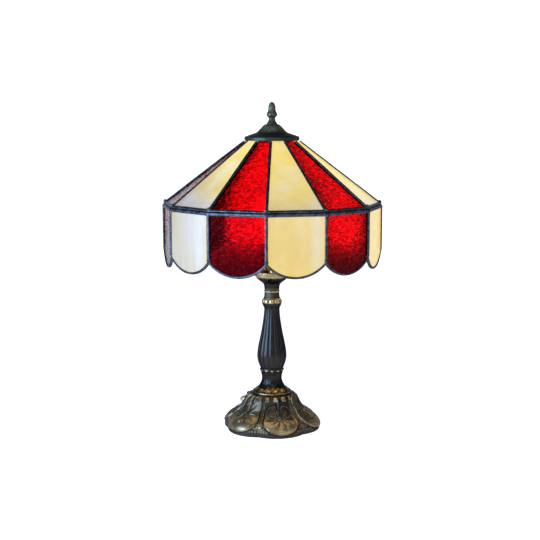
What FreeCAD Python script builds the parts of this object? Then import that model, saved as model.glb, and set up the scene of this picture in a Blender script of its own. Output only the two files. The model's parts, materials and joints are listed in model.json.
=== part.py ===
"""Stained glass table lamp, in millimetres, +Z up, standing on z = 0 with its axis on the Z axis.

A twelve-sided glass shade of red and cream panels hangs by its cap on a harp, over one upright bulb.
The castings of the stem are stacked on a threaded pipe and clamped on the lobed foot by nuts.
The front of the lamp faces -Y. Each sub-part has a function, and the last section writes them all.
"""

import FreeCAD
import Part
import math
import os

from FreeCAD import Vector

UP = Vector(0, 0, 1)
RIGHT = Vector(1, 0, 0)
ORIGIN = Vector(0, 0, 0)

# ---- Shade ----------------------------------------------------------------------------------------
panel_count = 12
shade_turn = -2.75            # degrees: the front seam stands a little left of centre
rim_radius = 200.5            # to the corners of the glass's outer face at the rim
rim_z = 420.5
opening_radius = 44.0         # to the corners of the glass at the top opening
cone_rise = 119.2             # from the rim to the top opening
skirt_side = 86.0             # height of a lower panel at its two sides
scallop_drop = 25.0           # how far the scallop hangs below the sides
glass = 3.0                   # thickness of the glass
seam_width = 5.5              # of the cames over the seams
seam_crown = 2.3              # how far a seam came stands above the glass
rim_came_width = 6.4
rim_came_crown = 2.6
edge_came_width = 4.5
edge_came_wall = 1.2
came_leaf = 1.0               # thickness of a came's inner leaf
came_lip = 0.4                # thickness of a came's outer leaf at its edges
came_heart = 1.2              # thickness of the web between two panes
came_gap = 0.1                # clearance between glass and came
joint_gap = 0.3               # clearance between cames where they are soldered
mitre_reach = 5.0             # how far a scallop's channel passes the seam before it is mitred
bead_steps = 6                # flats across a rim came's rounded back

# ---- Cap and finial -------------------------------------------------------------------------------
cap_wall = 1.5
cap_radius = 50.3
cap_height = 29.5             # from the flange's lower edge to the crown
cap_band = 7.5                # height of the flange's upright edge
cap_seat_radius = 35.0        # inside this the cap's underside rises to the crown
cap_crown_radius = 13.0
cap_shoulder = 2.2            # height of the flange's rounded edge
cap_shoulder_bulge = 0.65     # how far that edge's middle stands in from a square corner
top_ring_reach = 3.5          # how far the top ring reaches down over the glass
top_ring_rise = 2.8           # how far the top ring stands above the glass
finial_height = 40.0
finial_radius = 10.1
finial_foot_radius = 9.8
finial_bore_spare = 2.0       # depth of the finial's bore beyond the stud's end

# ---- Harp, saddle and sleeves ---------------------------------------------------------------------
harp_wire_radius = 2.0
harp_half_width = 57.0
leg_half_gap = 23.0           # from the axis to each leg of the harp
leg_height = 26.0             # of the harp's straight legs
shoulder_rise = 30.0          # height over which the harp widens above its legs
bend_radius = 20.0
shoulder_radius = 80.0
crown_slope = 45.0            # degrees: how steeply the harp's top runs in to the fitting
fitting_radius = 9.0
fitting_height = 12.0
wire_seat = 0.45              # where the wires end in the fitting, as a share of its radius
wire_clearance = 0.05
stud_radius = 3.1
stud_height = 17.0
stud_clearance = 0.08
saddle_thickness = 1.6
saddle_width = 15.0
saddle_post = 9.0
sleeve_clearance = 0.08
sleeve_wall = 1.5
sleeve_length = 14.0
leg_gap = 0.2                 # between a saddle post and the leg that stands on it

# ---- Socket, switch and bulb ----------------------------------------------------------------------
socket_radius = 17.0
socket_wall = 0.6
socket_fit = 0.1              # clearance between the socket's nested pieces
socket_cap_height = 21.0
socket_cap_lap = 5.0          # how far the cap reaches up over the shell
socket_neck_radius = 8.0
socket_neck_height = 3.0
socket_cap_floor = 1.0        # between the pipe's end and the inside of the cap's floor
socket_cap_shoulder = 2.0
socket_shell_height = 40.0
liner_wall = 0.9
interior_height = 12.0
interior_z_gap = 1.5
liner_gap = 1.5               # the liner ends this far below the shell's rim
screw_shell_radius = 14.3
screw_shell_wall = 0.5
screw_shell_height = 27.0
contact_width = 5.0
contact_height = 2.0
knob_radius = 6.5
knob_length = 12.0
knob_gap = 1.5                # between the shell and the knob
knob_chamfer = 1.2
knob_collar = 3.0             # length of the round part before the knob's two flats
knob_flat = 3.0               # from the knob's axis to each of its flats
shaft_radius = 2.4
shaft_depth = 9.0             # how far the shaft reaches into the interior
shaft_clearance = 0.08
bulb_radius = 30.0
bulb_height = 86.0            # of the glass
bulb_wall = 0.8
bulb_neck = 12.9              # radius of the glass where it enters the base
bulb_neck_flare = 13.8        # and a little higher up
bulb_neck_height = 10.0
bulb_tangent = -38.0          # degrees: where on the ball the neck runs in
bulb_base_radius = 13.2
bulb_base_height = 25.0
bulb_tip_radius = 4.2
bulb_shoulder_radius = 9.5
bulb_tip_gap = 0.3            # between the centre contact and the bulb's tip

# ---- Stem -----------------------------------------------------------------------------------------
foot_top_z = 66.0
bell_height = 40.0
baluster_height = 123.0
collar_height = 18.0
neck_height = 18.0
cup_height = 30.0
cup_radius = 33.5
cup_dish = 9.0                # depth of the dish in the cup's top
cup_dish_radius = 29.0
neck_radius = 14.3
neck_ring_radius = 15.3
neck_ring_wire = 1.5          # radius of the bead round the neck
neck_ring_rise = 11.0         # from the neck's foot to the bead
collar_radius = 18.8
collar_lobes = 9
collar_lobe_depth = 1.2
baluster_radius = 27.8
baluster_ring_radius = 22.0
baluster_ring_height = 7.0
flute_count = 14
flute_depth = 1.3
bell_top_radius = 18.6
bell_foot_radius = 36.0
bell_lip = 1.4                # the bell's top stands in from the baluster's ring by this
casting_wall = 4.0
casting_deck = 8.0            # thickness of a stem casting's closed top
pipe_radius = 4.9
pipe_bore = 3.4
pipe_clearance = 0.2
nut_flats = 14.3
nut_height = 4.0
nut_clearance = 0.05
washer_radius = 14.0
washer_thickness = 1.6
pipe_end = 3.0                # how far the pipe passes its lower nut
pipe_top = 11.0               # how far it reaches into the socket cap

# ---- Foot -----------------------------------------------------------------------------------------
felt_thickness = 2.0
felt_margin = 1.5
foot_radius = 92.0
foot_neck_radius = 38.0
pad_count = 6
pad_turn = 13.0               # degrees from the front to the middle of the first pad
pad_notch = 7.0               # depth of the notches between the pads at the floor
foot_wall = 4.5
foot_deck = 6.0               # thickness of the foot's top, which the lower nut pulls down

# ---- Cord -----------------------------------------------------------------------------------------
cord_diameter = 5.5
exit_angle = 13.0             # degrees from the back towards the left
exit_z = 10.0
bushing_radius = 4.8
bushing_flange = 6.6
bushing_flange_thickness = 2.0
bushing_tail_radius = 3.4
bushing_depth = 6.0           # how far it passes the wall inwards
bushing_flange_gap = 0.8      # between the foot's widest circle and the flange
bushing_reach = 22.0          # how far the strain relief stands out of the foot
bushing_seat = 1.5            # how far the cord reaches into the strain relief
bushing_clearance = 0.1
floor_gap = 0.05              # the cord lies this far above the floor
coil_centre = Vector(2, 163, 0)
coil_turn_radius = 27.5       # of the coil's middle turn
coil_turns_wide = 3
coil_layers = 3
plug_length = 24.0
plug_width = 22.0
plug_thickness = 16.0
plug_boss_length = 9.0
plug_boss_radius = 4.6
plug_boss_sleeve = 0.8        # thickness of the boss where the cord enters
plug_edge = 3.0               # radius of the plug's long edges
plug_tail = 24.0              # from the coil's widest point to the plug's boss
blade_length = 17.0
blade_width = 6.3
blade_thickness = 1.5
blade_spacing = 12.7

# The cord's points on the floor, after the strain relief and before the coil.
cord_floor_points = [
    (-36, 134),
    (-50, 158),
    (-60, 184),
    (-52, 209),
    (-27, 221),
    (3, 221),
    (27, 208),
    (36, 186),
    (35, 163),
]

# ---- Places worked out from the sizes above --------------------------------------------------------
half_step = math.pi / panel_count
opening_z = rim_z + cone_rise
cusp_z = rim_z - skirt_side
ring_top_z = opening_z + top_ring_rise
cap_z = ring_top_z - cap_band + cap_wall
crown_z = cap_z + cap_height
fitting_z = crown_z - cap_wall - fitting_height
stud_z = crown_z - cap_wall + stud_height
bell_z = foot_top_z
baluster_z = bell_z + bell_height
collar_z = baluster_z + baluster_height
neck_z = collar_z + collar_height
cup_z = neck_z + neck_height
cup_rim_z = cup_z + cup_height
dish_z = cup_rim_z - cup_dish
saddle_z = dish_z + nut_height
socket_z = saddle_z + saddle_thickness
leg_z = socket_z + saddle_post + leg_gap
shell_z = socket_z + socket_cap_height - socket_cap_lap
interior_z = shell_z + interior_z_gap
contact_z = interior_z + interior_height
bulb_z = contact_z + contact_height + bulb_tip_gap
bulb_glass_z = bulb_z + bulb_base_height
knob_z = interior_z + interior_height / 2
deck_z = foot_top_z - foot_deck
axis_bore = pipe_radius + pipe_clearance
cord_radius = cord_diameter / 2
cord_floor_z = cord_radius + floor_gap


# ---- Helpers --------------------------------------------------------------------------------------
def polar(radius, angle, z=0.0):
    """The point at this radius, with angle in radians from the front (-Y) towards the right (+X)."""
    return Vector(radius * math.sin(angle), -radius * math.cos(angle), z)


def corner_angle(k):
    return math.radians(shade_turn) + 2 * half_step * k


def cylinder(radius, height, z, centre=ORIGIN):
    return Part.makeCylinder(radius, height, Vector(centre.x, centre.y, z))


def ring(outer, inner, height, z):
    return cylinder(outer, height, z).cut(cylinder(inner, height + 2, z - 1))


def face_of(edges):
    return Part.Face(Part.Wire(edges))


def polygon_face(points):
    return Part.Face(Part.makePolygon(list(points) + [points[0]]))


def spline(points):
    """A smooth edge through points given as (radius, z)."""
    curve = Part.BSplineCurve()
    curve.interpolate([Vector(r, 0, z) for r, z in points])
    return curve.toShape()


def turned(outline, bore, z0, z1):
    """A turned piece: a smooth outline of (radius, z) from z0 up to z1 with flat ends and a bore."""
    edge = spline(outline)
    corners = [Vector(outline[-1][0], 0, z1), Vector(bore, 0, z1), Vector(bore, 0, z0)]
    corners.append(Vector(outline[0][0], 0, z0))
    edges = [edge]
    edges += [Part.makeLine(a, b) for a, b in zip(corners, corners[1:])]
    return face_of(edges).revolve(ORIGIN, UP, 360)


def lobed_wire(radius, depth, z, lobes, turn):
    """A closed ring of equal arcs that meet in notches, with the first arc's middle at turn."""
    half = math.pi / lobes
    edges = []
    for k in range(lobes):
        middle = turn + 2 * half * k
        start = polar(radius - depth, middle - half, z)
        end = polar(radius - depth, middle + half, z)
        edges.append(Part.Arc(start, polar(radius, middle, z), end).toShape())
    return Part.Wire(edges)


def lobed(sections, lobes, turn):
    """A solid through lobed rings given as (z, radius, depth of the notches)."""
    wires = [lobed_wire(radius, depth, z, lobes, turn) for z, radius, depth in sections]
    return Part.makeLoft(wires, True, False)


def round_path(points, report=None):
    """Straight runs joined by tangent arcs, each as large as the shorter of its two runs allows."""
    edges = []
    start = points[0]
    for before, here, after in zip(points, points[1:], points[2:]):
        back = before - here
        ahead = after - here
        turn = math.pi - back.getAngle(ahead)
        shorter = min(back.Length, ahead.Length)
        radius = 0.45 * shorter / math.tan(turn / 2)
        cut_in = here + back.normalize() * 0.45 * shorter
        cut_out = here + ahead.normalize() * 0.45 * shorter
        inward = (back + ahead).normalize()
        middle = here + inward * (radius / math.cos(turn / 2) - radius)
        edges.append(Part.LineSegment(start, cut_in).toShape())
        edges.append(Part.Arc(cut_in, middle, cut_out).toShape())
        start = cut_out
        if report is not None:
            report.append(round(radius, 1))
    edges.append(Part.LineSegment(start, points[-1]).toShape())
    return Part.Wire(edges)


def filleted_path(points, radii):
    """Straight runs joined by tangent arcs of given radii."""
    edges = []
    start = points[0]
    for before, here, after, radius in zip(points, points[1:], points[2:], radii):
        back = (before - here).normalize()
        ahead = (after - here).normalize()
        turn = math.pi - back.getAngle(ahead)
        setback = radius * math.tan(turn / 2)
        inward = (back + ahead).normalize()
        middle = here + inward * (radius / math.cos(turn / 2) - radius)
        edges.append(Part.LineSegment(start, here + back * setback).toShape())
        edges.append(Part.Arc(here + back * setback, middle, here + ahead * setback).toShape())
        start = here + ahead * setback
    edges.append(Part.LineSegment(start, points[-1]).toShape())
    return Part.Wire(edges)


def rod(path, radius):
    """A round rod along a wire."""
    first = path.Edges[0]
    start = first.valueAt(first.FirstParameter)
    heading = first.tangentAt(first.FirstParameter)
    circle = Part.Wire(Part.makeCircle(radius, start, heading))
    return path.makePipeShell([circle], True, False)


# ---- The shade's two kinds of facet ---------------------------------------------------------------
class Facet:
    """One flat side of the shade, with its own directions: across, along (away from the rim), outward."""

    def __init__(self, k, slope_end_radius, slope_end_z):
        self.left = polar(rim_radius, corner_angle(k), rim_z)
        self.right = polar(rim_radius, corner_angle(k + 1), rim_z)
        self.end_left = polar(slope_end_radius, corner_angle(k), slope_end_z)
        self.end_right = polar(slope_end_radius, corner_angle(k + 1), slope_end_z)
        self.middle = (self.left + self.right) * 0.5
        self.across = (self.right - self.left).normalize()
        end_middle = (self.end_left + self.end_right) * 0.5
        self.along = (end_middle - self.middle).normalize()
        self.length = (end_middle - self.middle).Length
        self.outward = self.across.cross(self.along)
        if self.outward.dot(self.middle - Vector(0, 0, rim_z)) < 0:
            self.outward = self.outward * -1

    def point(self, across, along, outward=0.0):
        return self.middle + self.across * across + self.along * along + self.outward * outward

    def half_width(self, along):
        """Half the distance between this facet's two seams, at this distance from the rim."""
        rim_half = (self.right - self.left).Length / 2
        end_half = (self.end_right - self.end_left).Length / 2
        return rim_half + (end_half - rim_half) * along / self.length


def upper_facet(k):
    return Facet(k, opening_radius, opening_z)


def lower_facet(k):
    return Facet(k, rim_radius, cusp_z)


def fold(first, second):
    """Half of the angle by which the shade's surface turns from one facet to the next."""
    return first.outward.getAngle(second.outward) / 2


upper_fold = fold(upper_facet(0), upper_facet(1))
lower_fold = fold(lower_facet(0), lower_facet(1))
rim_fold = fold(upper_facet(0), lower_facet(0))
rim_inset = joint_gap / 2 + (glass + came_gap) * math.tan(rim_fold) + came_heart
half_chord = lower_facet(0).half_width(0)
scallop_radius = (half_chord ** 2 + scallop_drop ** 2) / (2 * scallop_drop)


def pane_inset(fold_angle):
    """How far a pane's edge stays from the seam, so that its inner edge clears the came's heart."""
    return glass * math.tan(fold_angle) + came_heart / 2 + came_gap


# ---- Glass panels ---------------------------------------------------------------------------------
def upper_panel(k):
    facet = upper_facet(k)
    inset = pane_inset(upper_fold)
    low = facet.half_width(rim_inset) - inset
    high = facet.half_width(facet.length) - inset
    corners = [(-low, rim_inset), (low, rim_inset), (high, facet.length), (-high, facet.length)]
    pane = polygon_face([facet.point(a, s) for a, s in corners])
    return pane.extrude(facet.outward * -glass)


def scallop_outline(facet, drop, half, top):
    """A lower panel's outline: straight sides, a straight top, and an arc lowered by drop."""
    radius = scallop_radius + drop
    centre = facet.length + scallop_drop - scallop_radius
    side = centre + math.sqrt(radius ** 2 - half ** 2)
    corner_left = facet.point(-half, side)
    corner_right = facet.point(half, side)
    top_left = facet.point(-half, top)
    top_right = facet.point(half, top)
    arc = Part.Arc(corner_left, facet.point(0, centre + radius), corner_right).toShape()
    edges = [arc, Part.makeLine(corner_right, top_right), Part.makeLine(top_right, top_left)]
    edges.append(Part.makeLine(top_left, corner_left))
    return face_of(edges)


def lower_panel(k):
    facet = lower_facet(k)
    half = facet.half_width(0) - pane_inset(lower_fold)
    pane = scallop_outline(facet, 0.0, half, rim_inset)
    return pane.extrude(facet.outward * -glass)


# ---- Cames ----------------------------------------------------------------------------------------
def seam_came(first, second, start, end, fold_angle):
    """A came of H section along the seam of two facets, from start to end along the seam."""
    base = first.right
    heading = (first.end_right - first.right).normalize()
    outward = (first.outward + second.outward).normalize()
    side = outward.cross(heading).normalize()
    slope = math.tan(fold_angle)
    gap = came_gap / math.cos(fold_angle)
    depth = (glass + came_gap) / math.cos(fold_angle)
    half = seam_width / 2
    heart = came_heart / 2
    lip = gap - half * slope

    def at(across, outwards):
        return base + heading * start + side * across + outward * outwards

    crown = Part.Arc(at(half, lip + came_lip), at(0, seam_crown), at(-half, lip + came_lip))
    left = [(-half, lip + came_lip), (-half, lip), (-heart, gap - heart * slope)]
    left += [(-heart, -depth - heart * slope), (-half, -depth - half * slope)]
    left += [(-half, -depth - half * slope - came_leaf)]
    right = [(-across, outwards) for across, outwards in reversed(left)]
    corners = [at(across, outwards) for across, outwards in left + right]
    edges = [crown.toShape()]
    edges += [Part.makeLine(a, b) for a, b in zip(corners, corners[1:])]
    return face_of(edges).extrude(heading * (end - start))


def upper_seam_cames():
    seam = (upper_facet(0).end_right - upper_facet(0).right).Length
    covered = (cap_radius + joint_gap - opening_radius) / (rim_radius - opening_radius) * seam
    start = rim_came_width + joint_gap + seam_crown * math.tan(rim_fold)
    bars = []
    for k in range(panel_count):
        bars.append(seam_came(upper_facet(k), upper_facet(k + 1), start, seam - covered, upper_fold))
    return Part.makeCompound(bars)


def lower_seam_cames():
    start = rim_came_width + joint_gap
    cover = edge_came_width + joint_gap
    half = half_chord - seam_width / 2
    lift = math.sqrt(scallop_radius ** 2 - half ** 2) - math.sqrt(scallop_radius ** 2 - half_chord ** 2)
    end = skirt_side - cover - lift
    bars = []
    for k in range(panel_count):
        bars.append(seam_came(lower_facet(k), lower_facet(k + 1), start, end, lower_fold))
    return Part.makeCompound(bars)


def facet_ring(section):
    """A closed twelve-sided ring from a section of (distance of the flat from the axis, z)."""
    loops = []
    for k in range(panel_count):
        loops.append([polar(d / math.cos(half_step), corner_angle(k), z) for d, z in section])
    faces = []
    for k in range(panel_count):
        here = loops[k]
        there = loops[(k + 1) % panel_count]
        for i in range(len(section)):
            j = (i + 1) % len(section)
            faces.append(polygon_face([here[i], here[j], there[j], there[i]]))
    solid = Part.makeSolid(Part.makeShell(faces))
    if solid.Volume < 0:
        solid.reverse()
    return solid


def in_section(facet, along, outward):
    """A point of a facet's middle line, as (distance from the axis, z)."""
    point = facet.point(0, along, outward)
    return math.hypot(point.x, point.y), point.z


def rim_came(facet):
    """A came round the rim: a rounded back, and a channel that holds the panes' edges."""
    edge = rim_inset - came_gap
    depth = glass + came_gap
    section = []
    for i in range(bead_steps + 1):
        turn = math.pi * i / bead_steps
        along = joint_gap + (rim_came_width - joint_gap) * (1 - math.cos(turn)) / 2
        section.append((along, came_lip + (rim_came_crown - came_lip) * math.sin(turn)))
    section += [(rim_came_width, came_gap), (edge, came_gap), (edge, -depth)]
    section += [(rim_came_width, -depth), (rim_came_width, -depth - came_leaf)]
    section += [(joint_gap / 2 + (depth + came_leaf) * math.tan(rim_fold), -depth - came_leaf)]
    section += [(joint_gap / 2, 0.0)]
    return facet_ring([in_section(facet, along, outward) for along, outward in section])


def upper_rim_came():
    return rim_came(upper_facet(0))


def lower_rim_came():
    return rim_came(lower_facet(0))


def scallop_edge_came():
    """A channel along each scallop, in twelve pieces mitred at the cusps."""
    pieces = []
    outer = came_gap + edge_came_wall
    width = half_chord + mitre_reach
    depth = glass + 2 * outer
    for k in range(panel_count):
        facet = lower_facet(k)
        lift = facet.outward * outer
        inner_face = scallop_outline(facet, outer - edge_came_width, width, 0)
        body = scallop_outline(facet, outer, width, 0).cut(inner_face)
        body = body.extrude(facet.outward * -depth)
        body.translate(lift)
        slot = scallop_outline(facet, came_gap, width, 0)
        slot = slot.extrude(facet.outward * -(glass + 2 * came_gap))
        slot.translate(facet.outward * came_gap)
        wedge = polygon_face([Vector(0, 0, 0), polar(2 * rim_radius, corner_angle(k)),
                              polar(2 * rim_radius, corner_angle(k + 1))])
        wedge = wedge.extrude(UP * rim_z)
        pieces.append(body.cut(slot).common(wedge))
    return Part.makeCompound(pieces)


def top_ring():
    """The channel on the glass's upper edge, with a flat top under the cap."""
    facet = upper_facet(0)
    end = facet.length
    reach = top_ring_reach
    depth = glass + came_gap
    leaf = came_leaf
    rise = (top_ring_rise - facet.outward.z * (came_gap + leaf)) / facet.along.z
    section = [in_section(facet, end - reach, came_gap), in_section(facet, end - reach, came_gap + leaf)]
    top = in_section(facet, end + rise, came_gap + leaf)
    section.append(top)
    section.append((top[0] - glass - 2 * leaf, top[1]))
    section.append(in_section(facet, end + leaf, -depth - leaf))
    section.append(in_section(facet, end - reach, -depth - leaf))
    section.append(in_section(facet, end - reach, -depth))
    section.append(in_section(facet, end + came_gap, -depth))
    section.append(in_section(facet, end + came_gap, came_gap))
    return facet_ring(section)


# ---- Cap and finial -------------------------------------------------------------------------------
def cap_outline(inset):
    """The cap's flared top, from its shoulder to its crown, moved in by a thickness."""
    flare = [(0.955, 0.0), (0.835, 2.0), (0.715, 4.0), (0.556, 7.0), (0.476, 10.6), (0.41, 14.4),
             (0.34, 18.0)]
    shoulder_z = cap_z + cap_band
    return [(cap_radius * share - inset, shoulder_z + rise - inset) for share, rise in flare]


def shade_cap():
    hole = stud_radius + 2 * stud_clearance
    shoulder_z = cap_z + cap_band
    flare = cap_outline(0)
    inner = cap_outline(cap_wall)[2:]
    inner = [(cap_seat_radius, ring_top_z)] + inner[1:]
    under_z = crown_z - cap_wall
    shoulder = Part.Arc(Vector(cap_radius, 0, shoulder_z - cap_shoulder),
                        Vector(cap_radius - cap_shoulder_bulge, 0, shoulder_z - cap_shoulder_bulge),
                        Vector(flare[0][0], 0, shoulder_z))
    crown_edge = [Vector(flare[-1][0], 0, flare[-1][1]), Vector(cap_crown_radius, 0, crown_z)]
    crown_edge += [Vector(hole, 0, crown_z), Vector(hole, 0, under_z)]
    crown_edge += [Vector(cap_crown_radius - cap_wall, 0, under_z), Vector(inner[-1][0], 0, inner[-1][1])]
    seat = [Vector(cap_seat_radius, 0, ring_top_z), Vector(cap_radius - cap_wall, 0, ring_top_z)]
    seat += [Vector(cap_radius - cap_wall, 0, cap_z), Vector(cap_radius, 0, cap_z)]
    seat += [Vector(cap_radius, 0, shoulder_z - cap_shoulder)]
    edges = [shoulder.toShape(), spline(flare)]
    edges += [Part.makeLine(a, b) for a, b in zip(crown_edge, crown_edge[1:])]
    edges.append(spline(list(reversed(inner))))
    edges += [Part.makeLine(a, b) for a, b in zip(seat, seat[1:])]
    return face_of(edges).revolve(ORIGIN, UP, 360)


def finial():
    z = crown_z
    shares = [(0.115, 0.73), (0.225, 0.585), (0.315, 0.683), (0.425, 1.0), (0.54, 0.81), (0.66, 0.653)]
    shares += [(0.74, 0.653), (0.875, 0.515), (0.955, 0.356)]
    outline = [(finial_foot_radius, z)]
    outline += [(finial_radius * width, z + finial_height * rise) for rise, width in shares]
    top = z + finial_height
    edge = spline(outline)
    neck_radius, drop = outline[-1][0], top - outline[-1][1]
    tip_radius = (neck_radius ** 2 + drop ** 2) / (2 * drop)
    half = math.asin(neck_radius / tip_radius) / 2
    middle = Vector(tip_radius * math.sin(half), 0, top - tip_radius * (1 - math.cos(half)))
    tip = Part.Arc(Vector(neck_radius, 0, top - drop), middle, Vector(0, 0, top)).toShape()
    base = [Part.makeLine(Vector(0, 0, top), Vector(0, 0, z))]
    base.append(Part.makeLine(Vector(0, 0, z), Vector(finial_foot_radius, 0, z)))
    body = face_of([edge, tip] + base).revolve(ORIGIN, UP, 360)
    bore = stud_height - cap_wall + finial_bore_spare
    return body.cut(cylinder(stud_radius + stud_clearance, bore + 1, z - 1))


# ---- Harp -----------------------------------------------------------------------------------------
def harp_path(side):
    """One half of the harp, from its foot to the top fitting; side is 1 or -1 along Y."""
    slope = math.radians(crown_slope)
    reach = fitting_radius * wire_seat
    end_z = fitting_z + fitting_height / 2
    corner_z = end_z - (harp_half_width - reach) * math.tan(slope)
    points = [(leg_half_gap, leg_z), (leg_half_gap, leg_z + leg_height)]
    points += [(harp_half_width, leg_z + leg_height + shoulder_rise), (harp_half_width, corner_z)]
    points += [(reach, end_z)]
    points = [Vector(0, side * y, z) for y, z in points]
    return filleted_path(points, [bend_radius, bend_radius, shoulder_radius])


def harp_wire():
    return Part.makeCompound([rod(harp_path(side), harp_wire_radius) for side in (-1, 1)])


def harp_top_fitting():
    body = cylinder(fitting_radius, fitting_height, fitting_z)
    body = body.fuse(cylinder(stud_radius, stud_z - fitting_z - fitting_height, fitting_z + fitting_height))
    for side in (-1, 1):
        body = body.cut(rod(harp_path(side), harp_wire_radius + wire_clearance))
        end = Vector(0, side * fitting_radius * wire_seat, fitting_z + fitting_height / 2)
        body = body.cut(Part.makeSphere(harp_wire_radius + wire_clearance, end))
    return body


def harp_saddle():
    length = 2 * (leg_half_gap + saddle_width / 2 - harp_wire_radius)
    bar = Part.makeBox(saddle_width, length - saddle_width, saddle_thickness,
                       Vector(-saddle_width / 2, (saddle_width - length) / 2, saddle_z))
    for side in (-1, 1):
        centre = Vector(0, side * (length - saddle_width) / 2, 0)
        bar = bar.fuse(cylinder(saddle_width / 2, saddle_thickness, saddle_z, centre))
    for side in (-1, 1):
        foot = Vector(0, side * leg_half_gap, 0)
        bar = bar.fuse(cylinder(harp_wire_radius, saddle_post, socket_z, foot))
    bar = bar.removeSplitter()
    return bar.cut(cylinder(axis_bore, 2 * saddle_thickness, saddle_z - saddle_thickness / 2))


def harp_sleeve(side):
    bore = harp_wire_radius + sleeve_clearance
    centre = Vector(0, side * leg_half_gap, 0)
    outer = cylinder(bore + sleeve_wall, sleeve_length, socket_z, centre)
    return outer.cut(cylinder(bore, sleeve_length + 2, socket_z - 1, centre))


# ---- Socket, switch and bulb ----------------------------------------------------------------------
def socket_cap():
    inner = socket_radius + socket_fit
    outer = inner + socket_wall
    top = socket_z + socket_cap_height
    low_step = shell_z - socket_fit
    floor = socket_z + pipe_top + socket_cap_floor
    outline = [(socket_neck_radius, socket_z), (socket_neck_radius, socket_z + socket_neck_height)]
    outline += [(outer, low_step - socket_cap_shoulder), (outer, top), (inner, top), (inner, low_step)]
    outline += [(socket_radius - socket_cap_shoulder, low_step), (socket_neck_radius + 1, floor)]
    outline += [(axis_bore, floor), (axis_bore, socket_z)]
    return polygon_face([Vector(r, 0, z) for r, z in outline]).revolve(ORIGIN, UP, 360)


def shaft_hole(clearance):
    radius = shaft_radius + clearance
    return Part.makeCylinder(radius, 3 * socket_radius, Vector(0, 0, knob_z), RIGHT)


def socket_shell():
    shell = ring(socket_radius, socket_radius - socket_wall, socket_shell_height, shell_z)
    return shell.cut(shaft_hole(socket_fit + shaft_clearance))


def socket_liner():
    outer = socket_radius - socket_wall - socket_fit
    shell = ring(outer, outer - liner_wall, socket_shell_height - liner_gap, shell_z)
    return shell.cut(shaft_hole(socket_fit + shaft_clearance))


def interior_radius():
    return socket_radius - socket_wall - liner_wall - 2 * socket_fit


def socket_interior():
    body = cylinder(interior_radius(), interior_height, interior_z)
    pocket = Part.makeCylinder(shaft_radius + shaft_clearance, 2 * socket_radius,
                               Vector(interior_radius() - shaft_depth, 0, knob_z), RIGHT)
    return body.cut(pocket)


def screw_shell():
    inner = screw_shell_radius - screw_shell_wall
    return ring(screw_shell_radius, inner, screw_shell_height, contact_z)


def center_contact():
    return cylinder(contact_width / 2, contact_height, contact_z)


def switch_knob():
    start = interior_radius() - shaft_depth + shaft_clearance
    knob_x = socket_radius + socket_wall + socket_fit + knob_gap
    shaft = Part.makeCylinder(shaft_radius, knob_x - start + 1, Vector(start, 0, knob_z), RIGHT)
    knob = Part.makeCylinder(knob_radius, knob_length, Vector(knob_x, 0, knob_z), RIGHT)
    rims = [edge for edge in knob.Edges if edge.Curve.TypeId == "Part::GeomCircle"]
    knob = knob.makeChamfer(knob_chamfer, rims)
    corner = Vector(knob_x + knob_collar, -knob_radius, knob_z + knob_flat)
    waist = Part.makeBox(knob_length, 2 * knob_radius, knob_radius, corner)
    lower = waist.mirror(Vector(0, 0, knob_z), UP)
    return knob.cut(waist).cut(lower).fuse(shaft)


def bulb_base():
    z = bulb_z
    top = bulb_glass_z
    outline = [(0, z), (bulb_tip_radius, z), (bulb_tip_radius + 0.4, z + 1.5)]
    outline += [(bulb_shoulder_radius, z + 4.5), (bulb_base_radius, z + 5.5)]
    outline += [(bulb_base_radius, top), (0, top)]
    return polygon_face([Vector(r, 0, h) for r, h in outline]).revolve(ORIGIN, UP, 360)


def bulb_profile(inset):
    """The bulb's outline turned about its axis, moved in by a thickness."""
    ball_z = bulb_glass_z + bulb_height - bulb_radius
    radius = bulb_radius - inset
    low = math.radians(bulb_tangent)
    high = math.radians(30)

    def on_ball(angle):
        return Vector(radius * math.cos(angle), 0, ball_z + radius * math.sin(angle))

    foot = Vector(bulb_neck - inset, 0, bulb_glass_z)
    flare = Vector(bulb_neck_flare - inset, 0, bulb_glass_z + bulb_neck_height)
    neck = Part.BSplineCurve()
    neck.interpolate([foot, flare, on_ball(low)],
                     InitialTangent=UP, FinalTangent=Vector(-math.sin(low), 0, math.cos(low)))
    top = Vector(0, 0, ball_z + radius)
    ball = Part.Arc(on_ball(low), on_ball(high), top)
    centre = Vector(0, 0, bulb_glass_z)
    edges = [neck.toShape(), ball.toShape(), Part.makeLine(top, centre), Part.makeLine(centre, foot)]
    return face_of(edges).revolve(ORIGIN, UP, 360)


def bulb_glass():
    """A thin blown shell: a neck that widens smoothly into a ball."""
    return bulb_profile(0.0).cut(bulb_profile(bulb_wall))


# ---- Stem -----------------------------------------------------------------------------------------
def lamp_pipe():
    low = deck_z - washer_thickness - nut_height - pipe_end
    return ring(pipe_radius, pipe_bore, socket_z + pipe_top - low, low)


def hex_nut(z):
    corner = nut_flats / math.sqrt(3)
    points = [polar(corner, math.pi / 3 * k, z) for k in range(6)]
    nut = polygon_face(points).extrude(UP * nut_height)
    return nut.cut(cylinder(pipe_radius + nut_clearance, nut_height + 2, z - 1))


def pipe_nuts():
    return Part.makeCompound([hex_nut(deck_z - washer_thickness - nut_height), hex_nut(dish_z)])


def bottom_washer():
    return ring(washer_radius, axis_bore, washer_thickness, deck_z - washer_thickness)


def hollow(body, radius, z, height):
    """Opens a casting from below, up to its closed top."""
    return body.cut(cylinder(radius, height - casting_deck + 1, z - 1))


def candle_cup():
    z = cup_z
    outline = [(13.8, z), (14.2, z + 3), (17.0, z + 8), (21.5, z + 12), (26.5, z + 16), (29.8, z + 20)]
    outline += [(31.0, z + 24), (32.4, z + 28), (cup_radius, cup_rim_z)]
    body = turned(outline, axis_bore, z, cup_rim_z)
    return body.cut(cylinder(cup_dish_radius, cup_dish + 1, dish_z))


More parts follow.
